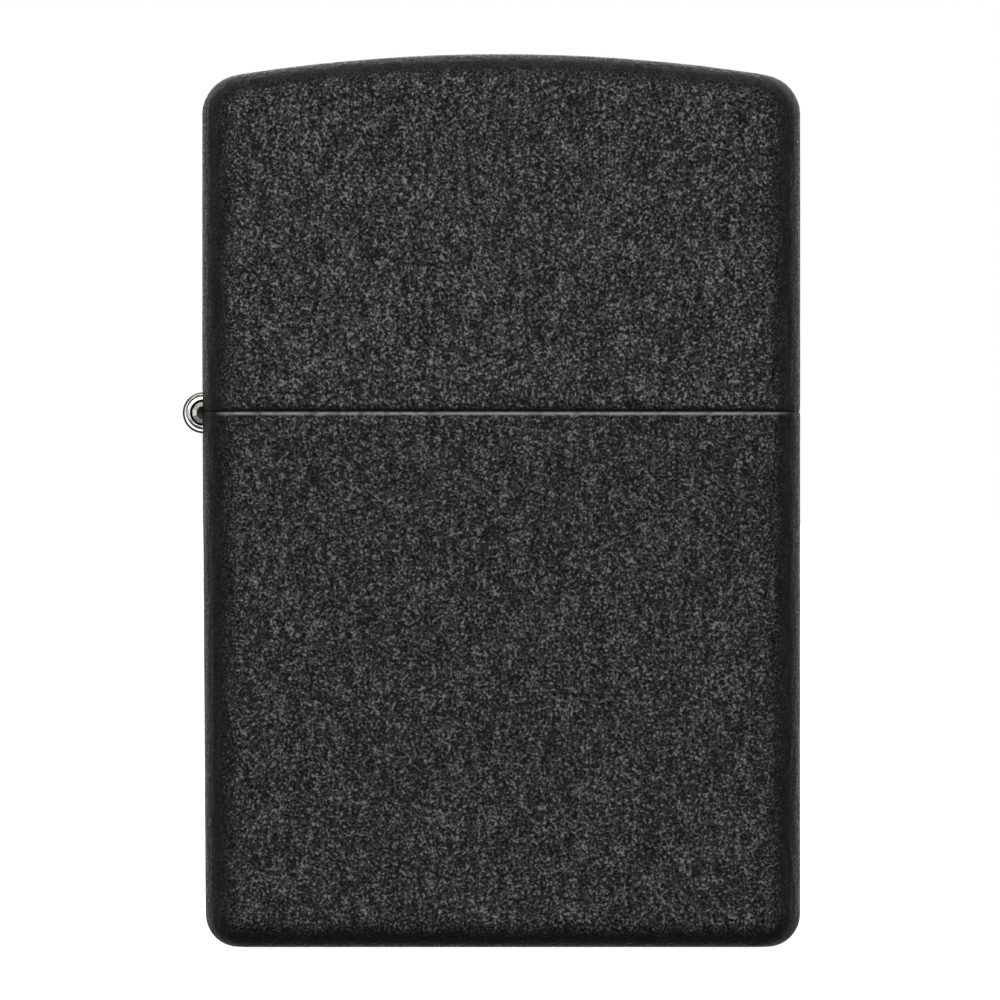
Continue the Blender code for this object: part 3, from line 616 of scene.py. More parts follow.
def brushed_metal(name, colour, along, rough, streak=0.05):
    """Sheet metal with fine lines along one axis, faint smudges and small scratches."""
    graph = Graph(name, Metallic=1.0)
    stretch = [0.04 if axis == along else 1.0 for axis in "XYZ"]
    lines = graph.noise(graph.place(stretch), 14.0, 3.0, 0.6)
    smudges = graph.noise(graph.place(), 0.22, 3.0, 0.55)
    specks = graph.span(graph.noise(graph.place(), 3.0, 2.0), 0.62, 0.75)
    tone = graph.total((lines, 0.5), (smudges, 0.5))
    dark = [channel * 0.8 for channel in colour]
    light = [min(channel * 1.12, 1.0) for channel in colour]
    shade = graph.colours(tone, (0.3, dark), (0.7, light))
    roughness = graph.span(tone, 0.3, 0.7, rough + streak * 1.4, rough - streak)
    roughness = graph.math("MULTIPLY_ADD", specks, 0.08, roughness)
    return graph.finish(Base_Color=shade, Roughness=roughness, Normal=graph.bump(lines, 0.004 * MM))


def turned_brass():
    """Brass with lathe rings about Z and brown tarnish in patches."""
    graph = Graph("turned_brass", Metallic=1.0)
    rings = graph.noise(graph.place((0.05, 0.05, 1.0)), 9.0, 2.0)
    tarnish = graph.span(graph.noise(graph.place(), 0.45, 3.0, 0.6), 0.42, 0.68)
    tone = graph.colours(rings, (0.3, (0.66, 0.45, 0.2)), (0.7, (0.86, 0.66, 0.34)))
    colour = graph.blend(tarnish, tone, (0.36, 0.22, 0.1))
    rough = graph.math("MULTIPLY_ADD", tarnish, 0.2, graph.span(rings, 0.3, 0.7, 0.2, 0.34))
    return graph.finish(Base_Color=colour, Roughness=rough, Normal=graph.bump(rings, 0.006 * MM))


def flint_alloy():
    """A pressed grey alloy with open grains."""
    graph = Graph("flint_grain", Metallic=0.6)
    grains = graph.add("TexVoronoi", {"Vector": graph.place(), "Scale": 6.0}).outputs["Distance"]
    dust = graph.noise(graph.place(), 9.0, 4.0, 0.65)
    colour = graph.colours(dust, (0.3, (0.09, 0.085, 0.08)), (0.75, (0.27, 0.26, 0.25)))
    rough = graph.span(dust, 0.3, 0.7, 0.45, 0.75)
    return graph.finish(Base_Color=colour, Roughness=rough, Normal=graph.bump(grains, 0.02 * MM))


def wick_cotton(char_low, char_high):
    """Braided cotton yarn, brown and then black towards its burnt end."""
    graph = Graph("wick_yarn", Metallic=0.0, Sheen_Weight=0.3)
    coordinates = graph.add("TexCoord", {}).outputs["Object"]
    height = graph.add("SeparateXYZ", {"Vector": coordinates}).outputs["Z"]
    ragged = graph.math("MULTIPLY", graph.noise(graph.place(), 1.6, 3.0), 2.2 * MM)
    burnt = graph.span(graph.math("ADD", height, ragged), char_low, char_high)
    fibres = graph.noise(graph.place((1.0, 1.0, 0.35)), 14.0, 3.0, 0.6)
    yarn = graph.colours(fibres, (0.3, (0.5, 0.45, 0.36)), (0.7, (0.82, 0.78, 0.68)))
    stops = (0.0, (1, 1, 1)), (0.45, (0.3, 0.17, 0.08)), (0.8, (0.025, 0.02, 0.018))
    colour = graph.blend(1.0, yarn, graph.colours(burnt, *stops), how="MULTIPLY")
    rough = graph.span(fibres, 0.2, 0.8, 0.75, 0.98)
    return graph.finish(Base_Color=colour, Roughness=rough, Normal=graph.bump(fibres, 0.03 * MM))


def loose_fibres(name, dark, light, tangle, depth):
    """Matted fibres that run every way, for wadding and for felt."""
    graph = Graph(name, Metallic=0.0, Sheen_Weight=0.4, Sheen_Roughness=0.5)
    ways = ((1.0, 0.2, 1.0), (0.2, 1.0, 1.0), (1.0, 1.0, 0.2))
    one, other, third = [graph.noise(graph.place(way), tangle, 3.0, 0.6, 1.2) for way in ways]
    fibres = graph.math("MAXIMUM", graph.math("MAXIMUM", one, other), third)
    clumps = graph.noise(graph.place(), 0.5, 3.0, 0.55)
    tone = graph.total((fibres, 0.7), (clumps, 0.3))
    colour = graph.colours(tone, (0.4, dark), (0.62, light))
    rough = graph.span(fibres, 0.4, 0.7, 0.85, 1.0)
    return graph.finish(Base_Color=colour, Roughness=rough, Normal=graph.bump(tone, depth))


# ---- case and hinge


def raise_paint(bm, reach_low, reach_high):
    """Lifts and sinks the outer face in slow vertical waves that fade out between two heights."""
    bm.normal_update()
    for vert in bm.verts:
        x, y, z = vert.co / MM
        fade = min(max(min(vert.co.z - reach_low, reach_high - vert.co.z) / PAINT_MARGIN, 0), 1)
        wave = noise.noise(Vector((x * 0.9, y * 0.9, z * 0.5)))
        fold = 1 - abs(noise.noise(Vector((x * 0.55 + 7.3, y * 0.55, z * 0.33))))
        vert.co += vert.normal * (PAINT_WAVE * fade * (wave + 0.6 * fold - 0.6))


def mark_faces(piece, index_of):
    """Gives every face the number of its material."""
    for polygon in piece.data.polygons:
        polygon.material_index = index_of(polygon)


def mark_inside(piece, low, high):
    """Gives the faces that look towards a shell's core box its second material."""

    def kind(polygon):
        at = polygon.center
        outward = at - Vector(min(max(at[i], low[i]), high[i]) for i in range(3))
        return int(polygon.normal.dot(outward.normalized()) < -0.5)

    mark_faces(piece, kind)


def mark_share(piece, name, share_at):
    """Gives every vertex a number from 0 to 1 that the paint reads."""
    layer = piece.data.attributes.new(name, "FLOAT", "POINT")
    values = [min(max(share_at(vertex), 0.0), 1.0) for vertex in piece.data.vertices]
    layer.data.foreach_set("value", values)


def from_hinge(point):
    """How far a point is from the hinge's axis."""
    return math.hypot(point.x - HINGE.x, point.z - HINGE.z)


def flatness(vertex):
    """1 on the flat faces, falling to 0 round the edges and the hinge, where the paint runs smooth and is
    painted darker as painted shade.
    """
    clear = min(max((from_hinge(vertex.co) - PAINT_SMOOTH) / PAINT_FADE, 0.0), 1.0)
    return clear * (max(abs(part) for part in vertex.normal) - 0.78) / 0.2


def hinge_notch(low_z, high_z):
    side = HINGE_LENGTH / 2 + NOTCH_SIDE
    return block((HINGE.x - NOTCH_OUT, -side, low_z), (HINGE.x + NOTCH_IN, side, high_z))


def build_base_shell(paint, bare):
    low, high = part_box("case_base")
    half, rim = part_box("case_lid")[1], high.z
    sizes = (half.x, half.y, CASE_CORNER, CASE_EDGE, CASE_WALL)
    shell = cup(*sizes, rim, flat_end(low.z), BASE_LIP, PAINT_CELL, BASE_TAPER)
    raise_paint(shell, low.z + CASE_EDGE / 2, rim - BASE_LIP)
    piece = to_object("base_shell", shell)
    cut(piece, hinge_notch(HINGE.z - NOTCH_RADIUS, rim + REACH))
    core = Vector((half.x - CASE_CORNER, half.y - CASE_CORNER, rim - BASE_LIP))
    mark_inside(piece, Vector((-core.x, -core.y, low.z + CASE_CORNER)), core)
    mark_share(piece, "grain_and_edge_shade", flatness)

    # Marks the worn line below the rim, whose bare metal is painted bright partly as a painted highlight.
    def rim_wear_and_highlight(vertex):
        from_line = 1.3 - abs(vertex.co.z - (rim - WEAR_AND_HIGHLIGHT_DEPTH)) / WEAR_AND_HIGHLIGHT_HALF
        from_end = (half.x - abs(vertex.co.x) - WEAR_AND_HIGHLIGHT_END) / WEAR_AND_HIGHLIGHT_END
        return min(from_line, 1.0) * min(max(from_end, 0.0), 1.0)

    mark_share(piece, "wear_and_highlight", rim_wear_and_highlight)
    finish_piece(piece, [paint, bare], "base", "case_base")


def build_lid_shell(paint, bare):
    low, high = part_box("case_lid")
    end = crowned_end(high.z)
    rim = low.z - SEAM_CLOSE
    sizes = (high.x, high.y, CASE_CORNER, CASE_EDGE, CASE_WALL)
    shell = cup(*sizes, rim, end, LID_LIP, PAINT_CELL)
    raise_paint(shell, rim + LID_LIP, high.z + PAINT_MARGIN)
    piece = to_object("lid_shell", shell)
    cut(piece, hinge_notch(low.z - REACH, HINGE.z + NOTCH_RADIUS))
    core_x, core_y = high.x - CASE_CORNER, high.y - CASE_CORNER
    core_low = Vector((-core_x, -core_y, rim + LID_LIP))
    mark_inside(piece, core_low, Vector((core_x, core_y, end(high.x) - CASE_EDGE)))
    mark_share(piece, "grain_and_edge_shade", flatness)
    finish_piece(piece, [paint, bare], "lid", "case_lid")


def knuckle_spans(numbers):
    length = (HINGE_LENGTH - (KNUCKLES - 1) * KNUCKLE_GAP) / KNUCKLES
    starts = [-HINGE_LENGTH / 2 + k * (length + KNUCKLE_GAP) for k in numbers]
    return [(start, start + length) for start in starts]


def leaf_mesh(numbers, up, barrel, u0, far):
    """A plate whose edge is rolled into knuckles. Across it run u, away from the hinge, and Y."""
    u1 = u0 + LEAF_THICKNESS
    start = math.degrees(math.acos(u0 / barrel))
    end = 360 + math.degrees(math.acos(u1 / barrel))
    roll = arc((0, 0), barrel, start, end, ROLL_STEPS)
    spans = knuckle_spans(numbers)
    stations = sorted({-HINGE_LENGTH / 2, HINGE_LENGTH / 2, *(y for span in spans for y in span)})
    bm = bmesh.new()

    def vertex(u, h, y):
        return bm.verts.new((HINGE.x + u, y, HINGE.z + up * h))

    plate = {}
    for y in stations:
        corners = ((u0, LEAF_NEAR), (u1, LEAF_NEAR), (u1, far), (u0, far))
        plate[y] = [vertex(u, h, y) for u, h in corners]
    bm.faces.new(plate[stations[0]])
    bm.faces.new(plate[stations[-1]])
    for near, next_y in zip(stations, stations[1:]):
        first = 1 if (near, next_y) in spans else 0
        for i in range(first, 4):
            j = (i + 1) % 4
            bm.faces.new((plate[near][i], plate[near][j], plate[next_y][j], plate[next_y][i]))
    for span in spans:
        rows = []
        for y in span:
            rows.append([plate[y][0]] + [vertex(u, h, y) for u, h in roll] + [plate[y][1]])
            bm.faces.new(rows[-1])
        for i in range(len(rows[0]) - 1):
            bm.faces.new((rows[0][i], rows[0][i + 1], rows[1][i + 1], rows[1][i]))
    return bm


def end_cutters(barrel):
    """Rings that turn a groove and a chamfer into both ends of the barrel."""
    shapes = []
    depth, spare = GROOVE_HALF * GROOVE_SLOPE, CUTTER_SPARE
    groove = [(GROOVE_RADIUS - 2 * GROOVE_HALF, depth), (GROOVE_RADIUS + 2 * GROOVE_HALF, depth)]
    groove.append((GROOVE_RADIUS, -depth))
    chamfer = [(barrel - BARREL_CHAMFER - spare, spare), (barrel + spare, spare)]
    chamfer.append((barrel + spare, -BARREL_CHAMFER - spare))
    for side in (-1, 1):
        for outline in (groove, chamfer):
            profile = [(radius, side * (HINGE_LENGTH / 2 + out)) for radius, out in outline]
            shapes.append(turned(profile, HINGE, "Y", 96, ring=True))
    return shapes


def weld_cutters(u, up, far):
    """Balls that press four shallow weld spots into a leaf."""
    shapes = []
    for across in (-WELD_Y, WELD_Y):
        for along in WELD_HEIGHTS:
            ball = bmesh.new()
            bmesh.ops.create_uvsphere(ball, u_segments=48, v_segments=32, radius=WELD_BALL)
            bmesh.ops.rotate(ball, verts=ball.verts, matrix=TO_AXIS["X"].to_3x3())
            place = Vector((HINGE.x + u + WELD_BALL - WELD_SINK, across, HINGE.z + up * far * along))
            bmesh.ops.translate(ball, verts=ball.verts, vec=place)
            shapes.append(ball)
    return shapes


def build_leaf(name, node, body, metal, near_black, up, numbers):
    """A hinge leaf: a plate inside the case wall whose edge is rolled into knuckles."""
    low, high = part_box(node)
    barrel = HINGE.x - low.x
    u0 = CASE_WALL + LEAF_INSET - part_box("case_lid")[1].x - HINGE.x
    far = (high.z - HINGE.z) if up > 0 else (HINGE.z - low.z)
    piece = to_object(name, leaf_mesh(numbers, up, barrel, u0, far))
    bevel(piece, 0.05 * MM, 2)
    ends = end_cutters(barrel) if 0 in numbers else []
    bore = rod(BARREL_BORE, -THROUGH, THROUGH, HINGE, "Y", 72)
    cut(piece, bore, *ends, *weld_cutters(u0 + LEAF_THICKNESS, up, far))

    # The bore's wall gets the near-black second material: painted shade in the gap round the pin.
    def kind(polygon):
        in_bore = from_hinge(polygon.center) < BARREL_BORE + 0.01 * MM
        return int(in_bore and abs(polygon.normal.y) < 0.9)

    mark_faces(piece, kind)
    finish_piece(piece, [metal, near_black], body, node)


def build_hinge_pin(metal, dull, near_black):
    """The pin, with a hollow peened at each end, dull facets round it, one facet kept bright as a painted
    glint, and near-black faces in the hollow and round its rim, the rim's as painted shade in the gap.
    """
    low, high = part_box("hinge_pin")
    radius, half = (high.x - low.x) / 2, high.y
    segments = PIN_FACETS * 8
    facet = math.tau / PIN_FACETS
    end = ((POLE, 0.12 * MM, 1.0), (PIN_FACET_RADIUS, 0.0, 1.0), (PIN_SHOULDER, 0.03 * MM, 0.4))
    end += ((radius, 0.2 * MM, 0.0),)
    rings = []
    for side, stations in ((-1, end), (1, end[::-1])):
        for size, back, share in stations:
            ring = []
            for i in range(segments):
                angle = math.tau * i / segments
                within = angle % facet - facet / 2
                faceted = size * math.cos(facet / 2) / math.cos(within)
                reach = size * (1 - share) + faceted * share
                ring.append((reach * math.cos(angle), reach * math.sin(angle), side * (half - back)))
            rings.append(ring)
    bm = bmesh.new()
    skin(bm, rings, "caps")
    bmesh.ops.transform(bm, matrix=Matrix.Translation(HINGE) @ TO_AXIS["Y"], verts=bm.verts)
    piece = to_object("hinge_pin_peened", bm)

    # Near black in the hollow at the middle and round the rim, the rim's as painted shade in the gap; one
    # facet kept bright as a painted glint.
    def kind(polygon):
        away = from_hinge(polygon.center)
        if away < PIN_FACET_RADIUS * 0.93 or away > (PIN_SHOULDER + radius) / 2 - 0.02 * MM:
            return 2
        at = polygon.center - HINGE
        return int(math.atan2(at.z, at.x) % math.tau // facet != PAINTED_GLINT_FACET)

    mark_faces(piece, kind)
    finish_piece(piece, [metal, dull, near_black], "base", "hinge_pin", 12)


# ---- insert


def build_tank(metal):
    low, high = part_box("insert_tank")
    sizes = (high.x, high.y, TANK_CORNER, TANK_EDGE, TANK_WALL)
    piece = to_object("tank_shell", cup(*sizes, low.z, flat_end(high.z), TANK_LIP, 0.9 * MM))
    slot = block(
        (CAM.x + CAM_SLOT[0], -CAM_SLOT_HALF_Y, high.z - REACH),
        (CAM.x + CAM_SLOT[1], CAM_SLOT_HALF_Y, high.z + REACH),
    )
    tube_hole = half_of("flint_tube").x + FREE
    cut(
        piece,
        rod(WICK_RADIUS + LOOSE, -REACH, REACH, (WICK_X, 0, high.z), "Z"),
        rod(tube_hole, -REACH, REACH, (WHEEL.x, 0, high.z), "Z"),
        rod(SPRING_RIVET + FREE, -REACH, REACH, (low.x, 0, SPRING_RIVET_Z), "X"),
        slot,
    )
    finish_piece(piece, [metal], "insert", "insert_tank")


def chimney_path():
    """The chimney's middle line seen from above, round from one ear's tip to the other's."""
    low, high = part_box("chimney")
    ear = EAR_HALF_Y - SHEET / 2
    wall = high.y - SHEET / 2
    corner = CHIMNEY_CORNER - SHEET / 2
    joggle_start, joggle_end = CHIMNEY_EDGE_X + 1.3 * MM, CHIMNEY_EDGE_X - 0.6 * MM
    back = [(high.x, ear), (high.x - 2 * MM, ear)]
    for i in range(13):
        share = i / 12
        x = joggle_start + (joggle_end - joggle_start) * share
        back.append((x, ear + (wall - ear) * ease(share)))
    for i in range(1, 12):
        back.append((joggle_end + (low.x + CHIMNEY_CORNER - joggle_end) * i / 12, wall))
    back += arc((low.x + CHIMNEY_CORNER, wall - corner), corner, 90, 180, 12)
    return back + [(x, -y) for x, y in reversed(back)]


def ear_cutter(top_z, right_x):
    """Everything to be cleared beside and above the ears, seen from the front."""
    step_z = WHEEL.z + EAR_STEP_RISE
    outline = [(CHIMNEY_EDGE_X, top_z + REACH)]
    outline += arc((CHIMNEY_EDGE_X + EAR_STEP, step_z), EAR_STEP, 180, 270, 12)
    outline += arc((WHEEL.x, WHEEL.z), EAR_RADIUS, 115, 0, 24)
    outline += [(right_x + REACH, WHEEL.z), (right_x + REACH, top_z + REACH)]
    return prism(outline, -THROUGH, THROUGH, "Y")


def build_chimney(metal):
    low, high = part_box("chimney")
    piece = to_object("chimney_wall", prism(offset_path(chimney_path(), SHEET), low.z, high.z, "Z"))
    slot = block(
        (low.x - REACH, -NOSE_SLOT_HALF_Y, low.z - REACH),
        (low.x + CHIMNEY_CORNER / 2, NOSE_SLOT_HALF_Y, NOSE_SLOT_TOP_Z),
    )
    shapes = [ear_cutter(high.z, high.x), slot]
    shapes.append(rod(WHEEL_PIN + SNUG, -THROUGH, THROUGH, WHEEL, "Y"))
    shapes.append(rod(CAM_PIN + SNUG, -THROUGH, THROUGH, CAM, "Y"))
    for row, count in VENT_ROWS:
        for k in range(count):
            x = VENT_CENTRE[0] + (k - (count - 1) / 2) * VENT_PITCH_X
            z = VENT_CENTRE[1] + row * VENT_PITCH_Z
            shapes.append(rod(VENT_RADIUS, -THROUGH, THROUGH, (x, 0, z), "Y"))
    cut(piece, *shapes)
    bevel(piece, 0.07 * MM, 3, angle=50)
    finish_piece(piece, [metal], "insert", "chimney")


def build_rivet(name, node, metal, axis, shank, half_grip):
    """A rivet whose heads are low domes, just clear of what it grips."""
    low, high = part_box(node)
    half = (high - low) / 2
    end = half.x if axis == "X" else half.y
    grip = half_grip + FREE
    rim = grip + 0.05 * MM
    profile = [(radius, -rim - rise) for radius, rise in dome(half.z, end - rim)[::-1]]
    profile += [(half.z, -grip), (shank, -grip)]
    profile += [(radius, -along) for radius, along in reversed(profile)]
    piece = to_object(name, turned(profile, (low + high) / 2, axis))
    finish_piece(piece, [metal], "insert", node)


def build_wheel(metal):
    """The striker wheel: slanted file teeth with cross cuts, chamfered rims and dished sides."""
    half = half_of("striker_wheel")
    count = WHEEL_TEETH * TOOTH_POINTS
    side = ((WHEEL_BORE, 0.0), *WHEEL_DISH)
    rings = [circle(size, count, dish - half.y) for size, dish in side]
    for j in range(WHEEL_ROWS + 1):
        y = -half.y + 2 * half.y * j / WHEEL_ROWS
        chamfer = max(0.0, abs(y) - (half.y - WHEEL_CHAMFER))
        cross = max(0.0, math.cos(math.tau * y / CROSS_PITCH)) ** 3
        ring = []
        for i in range(count):
            turn = math.tau * i / count
            phase = (i / TOOTH_POINTS + y / TOOTH_SLANT) % 1.0
            saw = phase / TOOTH_RISE if phase < TOOTH_RISE else (1 - phase) / (1 - TOOTH_RISE)
            depth = TOOTH_DEPTH * (1 - saw) + CROSS_DEPTH * cross * saw + chamfer
            size = half.x - 0.005 * MM - depth
            ring.append((size * math.cos(turn), size * math.sin(turn), y))
        rings.append(ring)
    rings += [circle(size, count, half.y - dish) for size, dish in reversed(side)]
    bm = bmesh.new()
    skin(bm, rings, "loop")
    bmesh.ops.transform(bm, matrix=Matrix.Translation(WHEEL) @ TO_AXIS["Y"], verts=bm.verts)
    finish_piece(to_object("toothed_wheel", bm), [metal], "wheel", "striker_wheel", 28)


def build_cam(metal):
    low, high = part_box("cam_lever")
    outline = arc(NOSE, NOSE_RADIUS, 78, 258, 32)
    outline.append((CAM.x + CAM_ARMPIT[0], CAM.z + CAM_ARMPIT[1]))
    outline += arc(TAIL, TAIL_RADIUS, 180, 345, 20)
    outline += arc((CAM.x, CAM.z), CAM_BOSS, -35, 100, 28)
    piece = to_object("cam_rounded", prism(outline, low.y, high.y, "Y"))
    cut(piece, rod(CAM_BORE, -THROUGH, THROUGH, CAM, "Y"))
    bevel(piece, 0.12 * MM, 3, angle=60)
    finish_piece(piece, [metal], "cam", "cam_lever")


def build_cam_spring(metal):
    low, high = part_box("cam_spring")
    wall_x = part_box("insert_tank")[0].x + TANK_WALL + LEAF_SPRING_GAP + LEAF_SPRING / 2
    knee_z = SPRING_RIVET_Z + 2.6 * MM
    tip = (TAIL[0] - TAIL_RADIUS - 0.3 * MM, TAIL[1] + 0.2 * MM)
    path = [(wall_x, low.z + (knee_z - low.z) * i / 6) for i in range(6)]
    for i in range(25):
        share = i / 24
        bend = share * share * (1.6 - 0.6 * share)
        path.append((wall_x + (tip[0] - wall_x) * bend, knee_z + (tip[1] - knee_z) * share))
    piece = to_object("cam_leaf_spring", prism(offset_path(path, LEAF_SPRING), low.y, high.y, "Y"))
    cut(piece, rod(SPRING_RIVET + FREE, -REACH, REACH, (wall_x, 0, SPRING_RIVET_Z), "X"))
    bevel(piece, 0.05 * MM, 2, angle=60)
    finish_piece(piece, [metal], "insert", "cam_spring")


# ---- flint train


def build_flint_tube(metal):
    low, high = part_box("flint_tube")
    outer, edge = half_of("flint_tube").x, 0.12 * MM
    profile = [(outer - edge, low.z), (outer, low.z + edge), (outer, high.z - edge)]
    profile += [(outer - edge, high.z), (TUBE_BORE + edge, high.z), (TUBE_BORE, high.z - edge)]
    profile += [(TUBE_BORE, low.z + edge), (TUBE_BORE + edge, low.z)]
    piece = to_object("flint_tube_turned", turned(profile, (WHEEL.x, 0, 0), "Z", ring=True))
    finish_piece(piece, [metal], "insert", "flint_tube")


def build_flint_screw(metal):
    """The slotted screw that closes the flint tube, with a crowned head and a pilot for the spring."""
    low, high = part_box("flint_screw")
    head, head_top = half_of("flint_screw").x, low.z + 1.3 * MM
    shank, pilot, crown, foot = 1.27 * MM, 0.6 * MM, 0.3 * MM, SPRING_FOOT_Z
    profile = [(POLE, low.z), (head - crown, low.z)]
    profile += arc((head - crown, low.z + crown), crown, -75, 0, 6)
    profile += [(head, head_top - 0.1 * MM), (head - 0.1 * MM, head_top), (shank, head_top)]
    profile += [(shank, foot - 0.15 * MM), (shank - 0.15 * MM, foot), (pilot, foot)]
    profile += [(pilot, high.z - 0.2 * MM), (pilot - 0.2 * MM, high.z)]
    piece = to_object("flint_screw_turned", turned(profile, (WHEEL.x, 0, 0), "Z"))
    reach, slot = head + REACH, 0.45 * MM
    low_corner = (WHEEL.x - reach, -slot, low.z - REACH)
    cut(piece, block(low_corner, (WHEEL.x + reach, slot, low.z + 0.7 * MM)))
    finish_piece(piece, [metal], "insert", "flint_screw")


def build_flint(alloy):
    low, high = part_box("flint")
    radius, edge = half_of("flint").x, 0.14 * MM
    profile = [(POLE, low.z)] + arc((radius - edge, low.z + edge), edge, -90, 0, 4)
    for i in range(1, 24):
        wobble = 0.012 * MM * math.sin(i * 2.4)
        profile.append((radius - abs(wobble), low.z + edge + (high.z - low.z - 2 * edge) * i / 24))
    profile += arc((radius - edge, high.z - edge), edge, 0, 90, 4)
    profile.append((POLE, high.z - 0.03 * MM))
    piece = to_object("flint_rod", turned(profile, (WHEEL.x, 0, 0), "Z", 40))
    finish_piece(piece, [alloy], "flint_train", "flint", 45)


def build_follower(metal):
    low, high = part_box("flint_follower")
    stem, head, under = 0.6 * MM, half_of("flint_follower").x, high.z - 0.9 * MM
    rise = 0.45 * MM
    profile = [(POLE, low.z), (stem - 0.1 * MM, low.z), (stem, low.z + 0.1 * MM)]
    profile += [(stem, under - 0.1 * MM), (stem + 0.1 * MM, under), (head - 0.08 * MM, under)]
    profile += [(head, under + 0.08 * MM)]
    profile += [(radius, high.z - rise + z) for radius, z in dome(head, rise)]
    piece = to_object("flint_follower_turned", turned(profile, (WHEEL.x, 0, 0), "Z"))
    finish_piece(piece, [metal], "flint_train", "flint_follower")


def build_flint_spring(metal):
    """A compression spring with closed end turns."""
    low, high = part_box("flint_spring")
    coil = half_of("flint_spring").x - SPRING_WIRE
    bottom, top = low.z + SPRING_WIRE, high.z - SPRING_WIRE
    closed, steps = 2, 24
    turns = SPRING_TURNS + 2 * closed
    wire = 2 * SPRING_WIRE * 1.04
    pitch = (top - bottom - 2 * closed * wire) / SPRING_TURNS
    route = []
    z = bottom
    for i in range(turns * steps + 1):
        turn = i / steps
        angle = math.tau * turn
        route.append((WHEEL.x + coil * math.cos(angle), coil * math.sin(angle), z))
        z += (wire if turn < closed or turn >= turns - closed else pitch) / steps
    bm = bmesh.new()
    sweep(bm, [route], SPRING_WIRE, 10)
    piece = to_object("flint_spring_coil", bm)
    finish_piece(piece, [metal], "insert", "flint_spring", 60)
    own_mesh(piece)


# ---- wick, packing, felt


def wick_route():
    """The wick's middle line in X and Z, from its top down and through the packing, evenly spaced."""
    upper, lower = WICK_TURN[1] + WICK_BEND, WICK_TURN[1] - WICK_BEND
    corners = [(WICK_X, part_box("wick")[1].z)]
    for i in range(13):
        share = i / 12
        x = WICK_X + (WICK_LOW_X - WICK_X) * ease(share)
        corners.append((x, WICK_LEAN[0] + (WICK_LEAN[1] - WICK_LEAN[0]) * share))
    corners += arc((WICK_LOW_X - WICK_ELBOW, upper + WICK_ELBOW), WICK_ELBOW, 0, -90, 10)
    corners += arc(WICK_TURN, WICK_BEND, 90, 270, 24)
    corners.append((WICK_TURN[0] + WICK_RUN, lower))
    route, carry = [], 0.0
    for start, end in zip(corners, corners[1:]):
        start, end = Vector(start), Vector(end)
        length = (end - start).length
        while carry < length:
            route.append(start + (end - start) * (carry / length))
            carry += WICK_STEP
        carry -= length
    return route


def build_wick(yarn, brass):
    """A braid of yarns wound both ways round a core, with fine brass wires and a frayed top."""
    rng = random.Random(5)
    route = wick_route()
    lay = WICK_RADIUS - YARN_RADIUS - WEAVE

    def at(i, turn, reach):
        run = (route[min(i + 1, len(route) - 1)] - route[max(i - 1, 0)]).normalized()
        side = Vector((-run.y, 0, run.x))
        centre = Vector((route[i].x, 0, route[i].y))
        angle = math.tau * turn
        return centre + side * (reach * math.cos(angle)) + Vector((0, 1, 0)) * (reach * math.sin(angle))

    yarns = []
    for way in (-1, 1):
        for k in range(STRANDS):
            points = []
            for i in range(rng.randint(0, 3), len(route)):
                turn = way * i * WICK_STEP / WICK_PITCH + (k + 0.25 * way) / STRANDS
                wave = math.tau * STRANDS * i * WICK_STEP / WICK_PITCH + math.pi * (k + (way < 0))
                splay = 0.1 * MM * math.exp(-i / 5)
                points.append(at(i, turn, lay + way * WEAVE * math.sin(wave) + splay))
            yarns.append(points)
    core = [at(i, 0, 0) for i in range(4, len(route) - 1)]
    wires = []
    for k in range(3):
        turns = [i * WICK_STEP / WICK_PITCH + (k + 0.5) / 3 for i in range(len(route))]
        wires.append([at(i, turns[i], WICK_RADIUS - 0.09 * MM) for i in range(1, len(route))])
    bm = bmesh.new()
    sweep(bm, yarns, YARN_RADIUS, 8)
    sweep(bm, [core], lay, 24)
    for face in sweep(bm, wires, 0.05 * MM, 6):
        face.material_index = 1
    finish_piece(to_object("wick_braid", bm), [yarn, brass], "insert", "wick", 60)


def swell(piece, cell, most):
    """Lets a pad puff out under pressure as cloth, at fifty times its size, by a limited distance."""
    scene = bpy.context.scene
    grow, frames = 50, 20
    centre = sum((vertex.co for vertex in piece.data.vertices), Vector()) / len(piece.data.vertices)
    piece.data.transform(Matrix.Scale(grow, 4) @ Matrix.Translation(-centre))
    voxels(piece, cell * grow)
    before = np.array([vertex.co for vertex in piece.data.vertices])
    cloth = piece.modifiers.new("swell", "CLOTH")
    cloth.settings.use_pressure = True
    cloth.settings.uniform_pressure_force = 4.0
    cloth.settings.effector_weights.gravity = 0.0
    cloth.point_cache.frame_start = 1
    cloth.point_cache.frame_end = frames
    for number in range(1, frames + 1):
        scene.frame_set(number)
    apply_modifiers(piece)
    scene.frame_set(1)
    after = np.array([vertex.co for vertex in piece.data.vertices])
    moved = after - before
    length = np.linalg.norm(moved, axis=1, keepdims=True)
    after = before + moved * np.minimum(1.0, most * grow / np.maximum(length, 1e-9))
    piece.data.vertices.foreach_set("co", after.astype(np.float32).ravel())
    piece.data.transform(Matrix.Translation(centre) @ Matrix.Scale(1 / grow, 4))


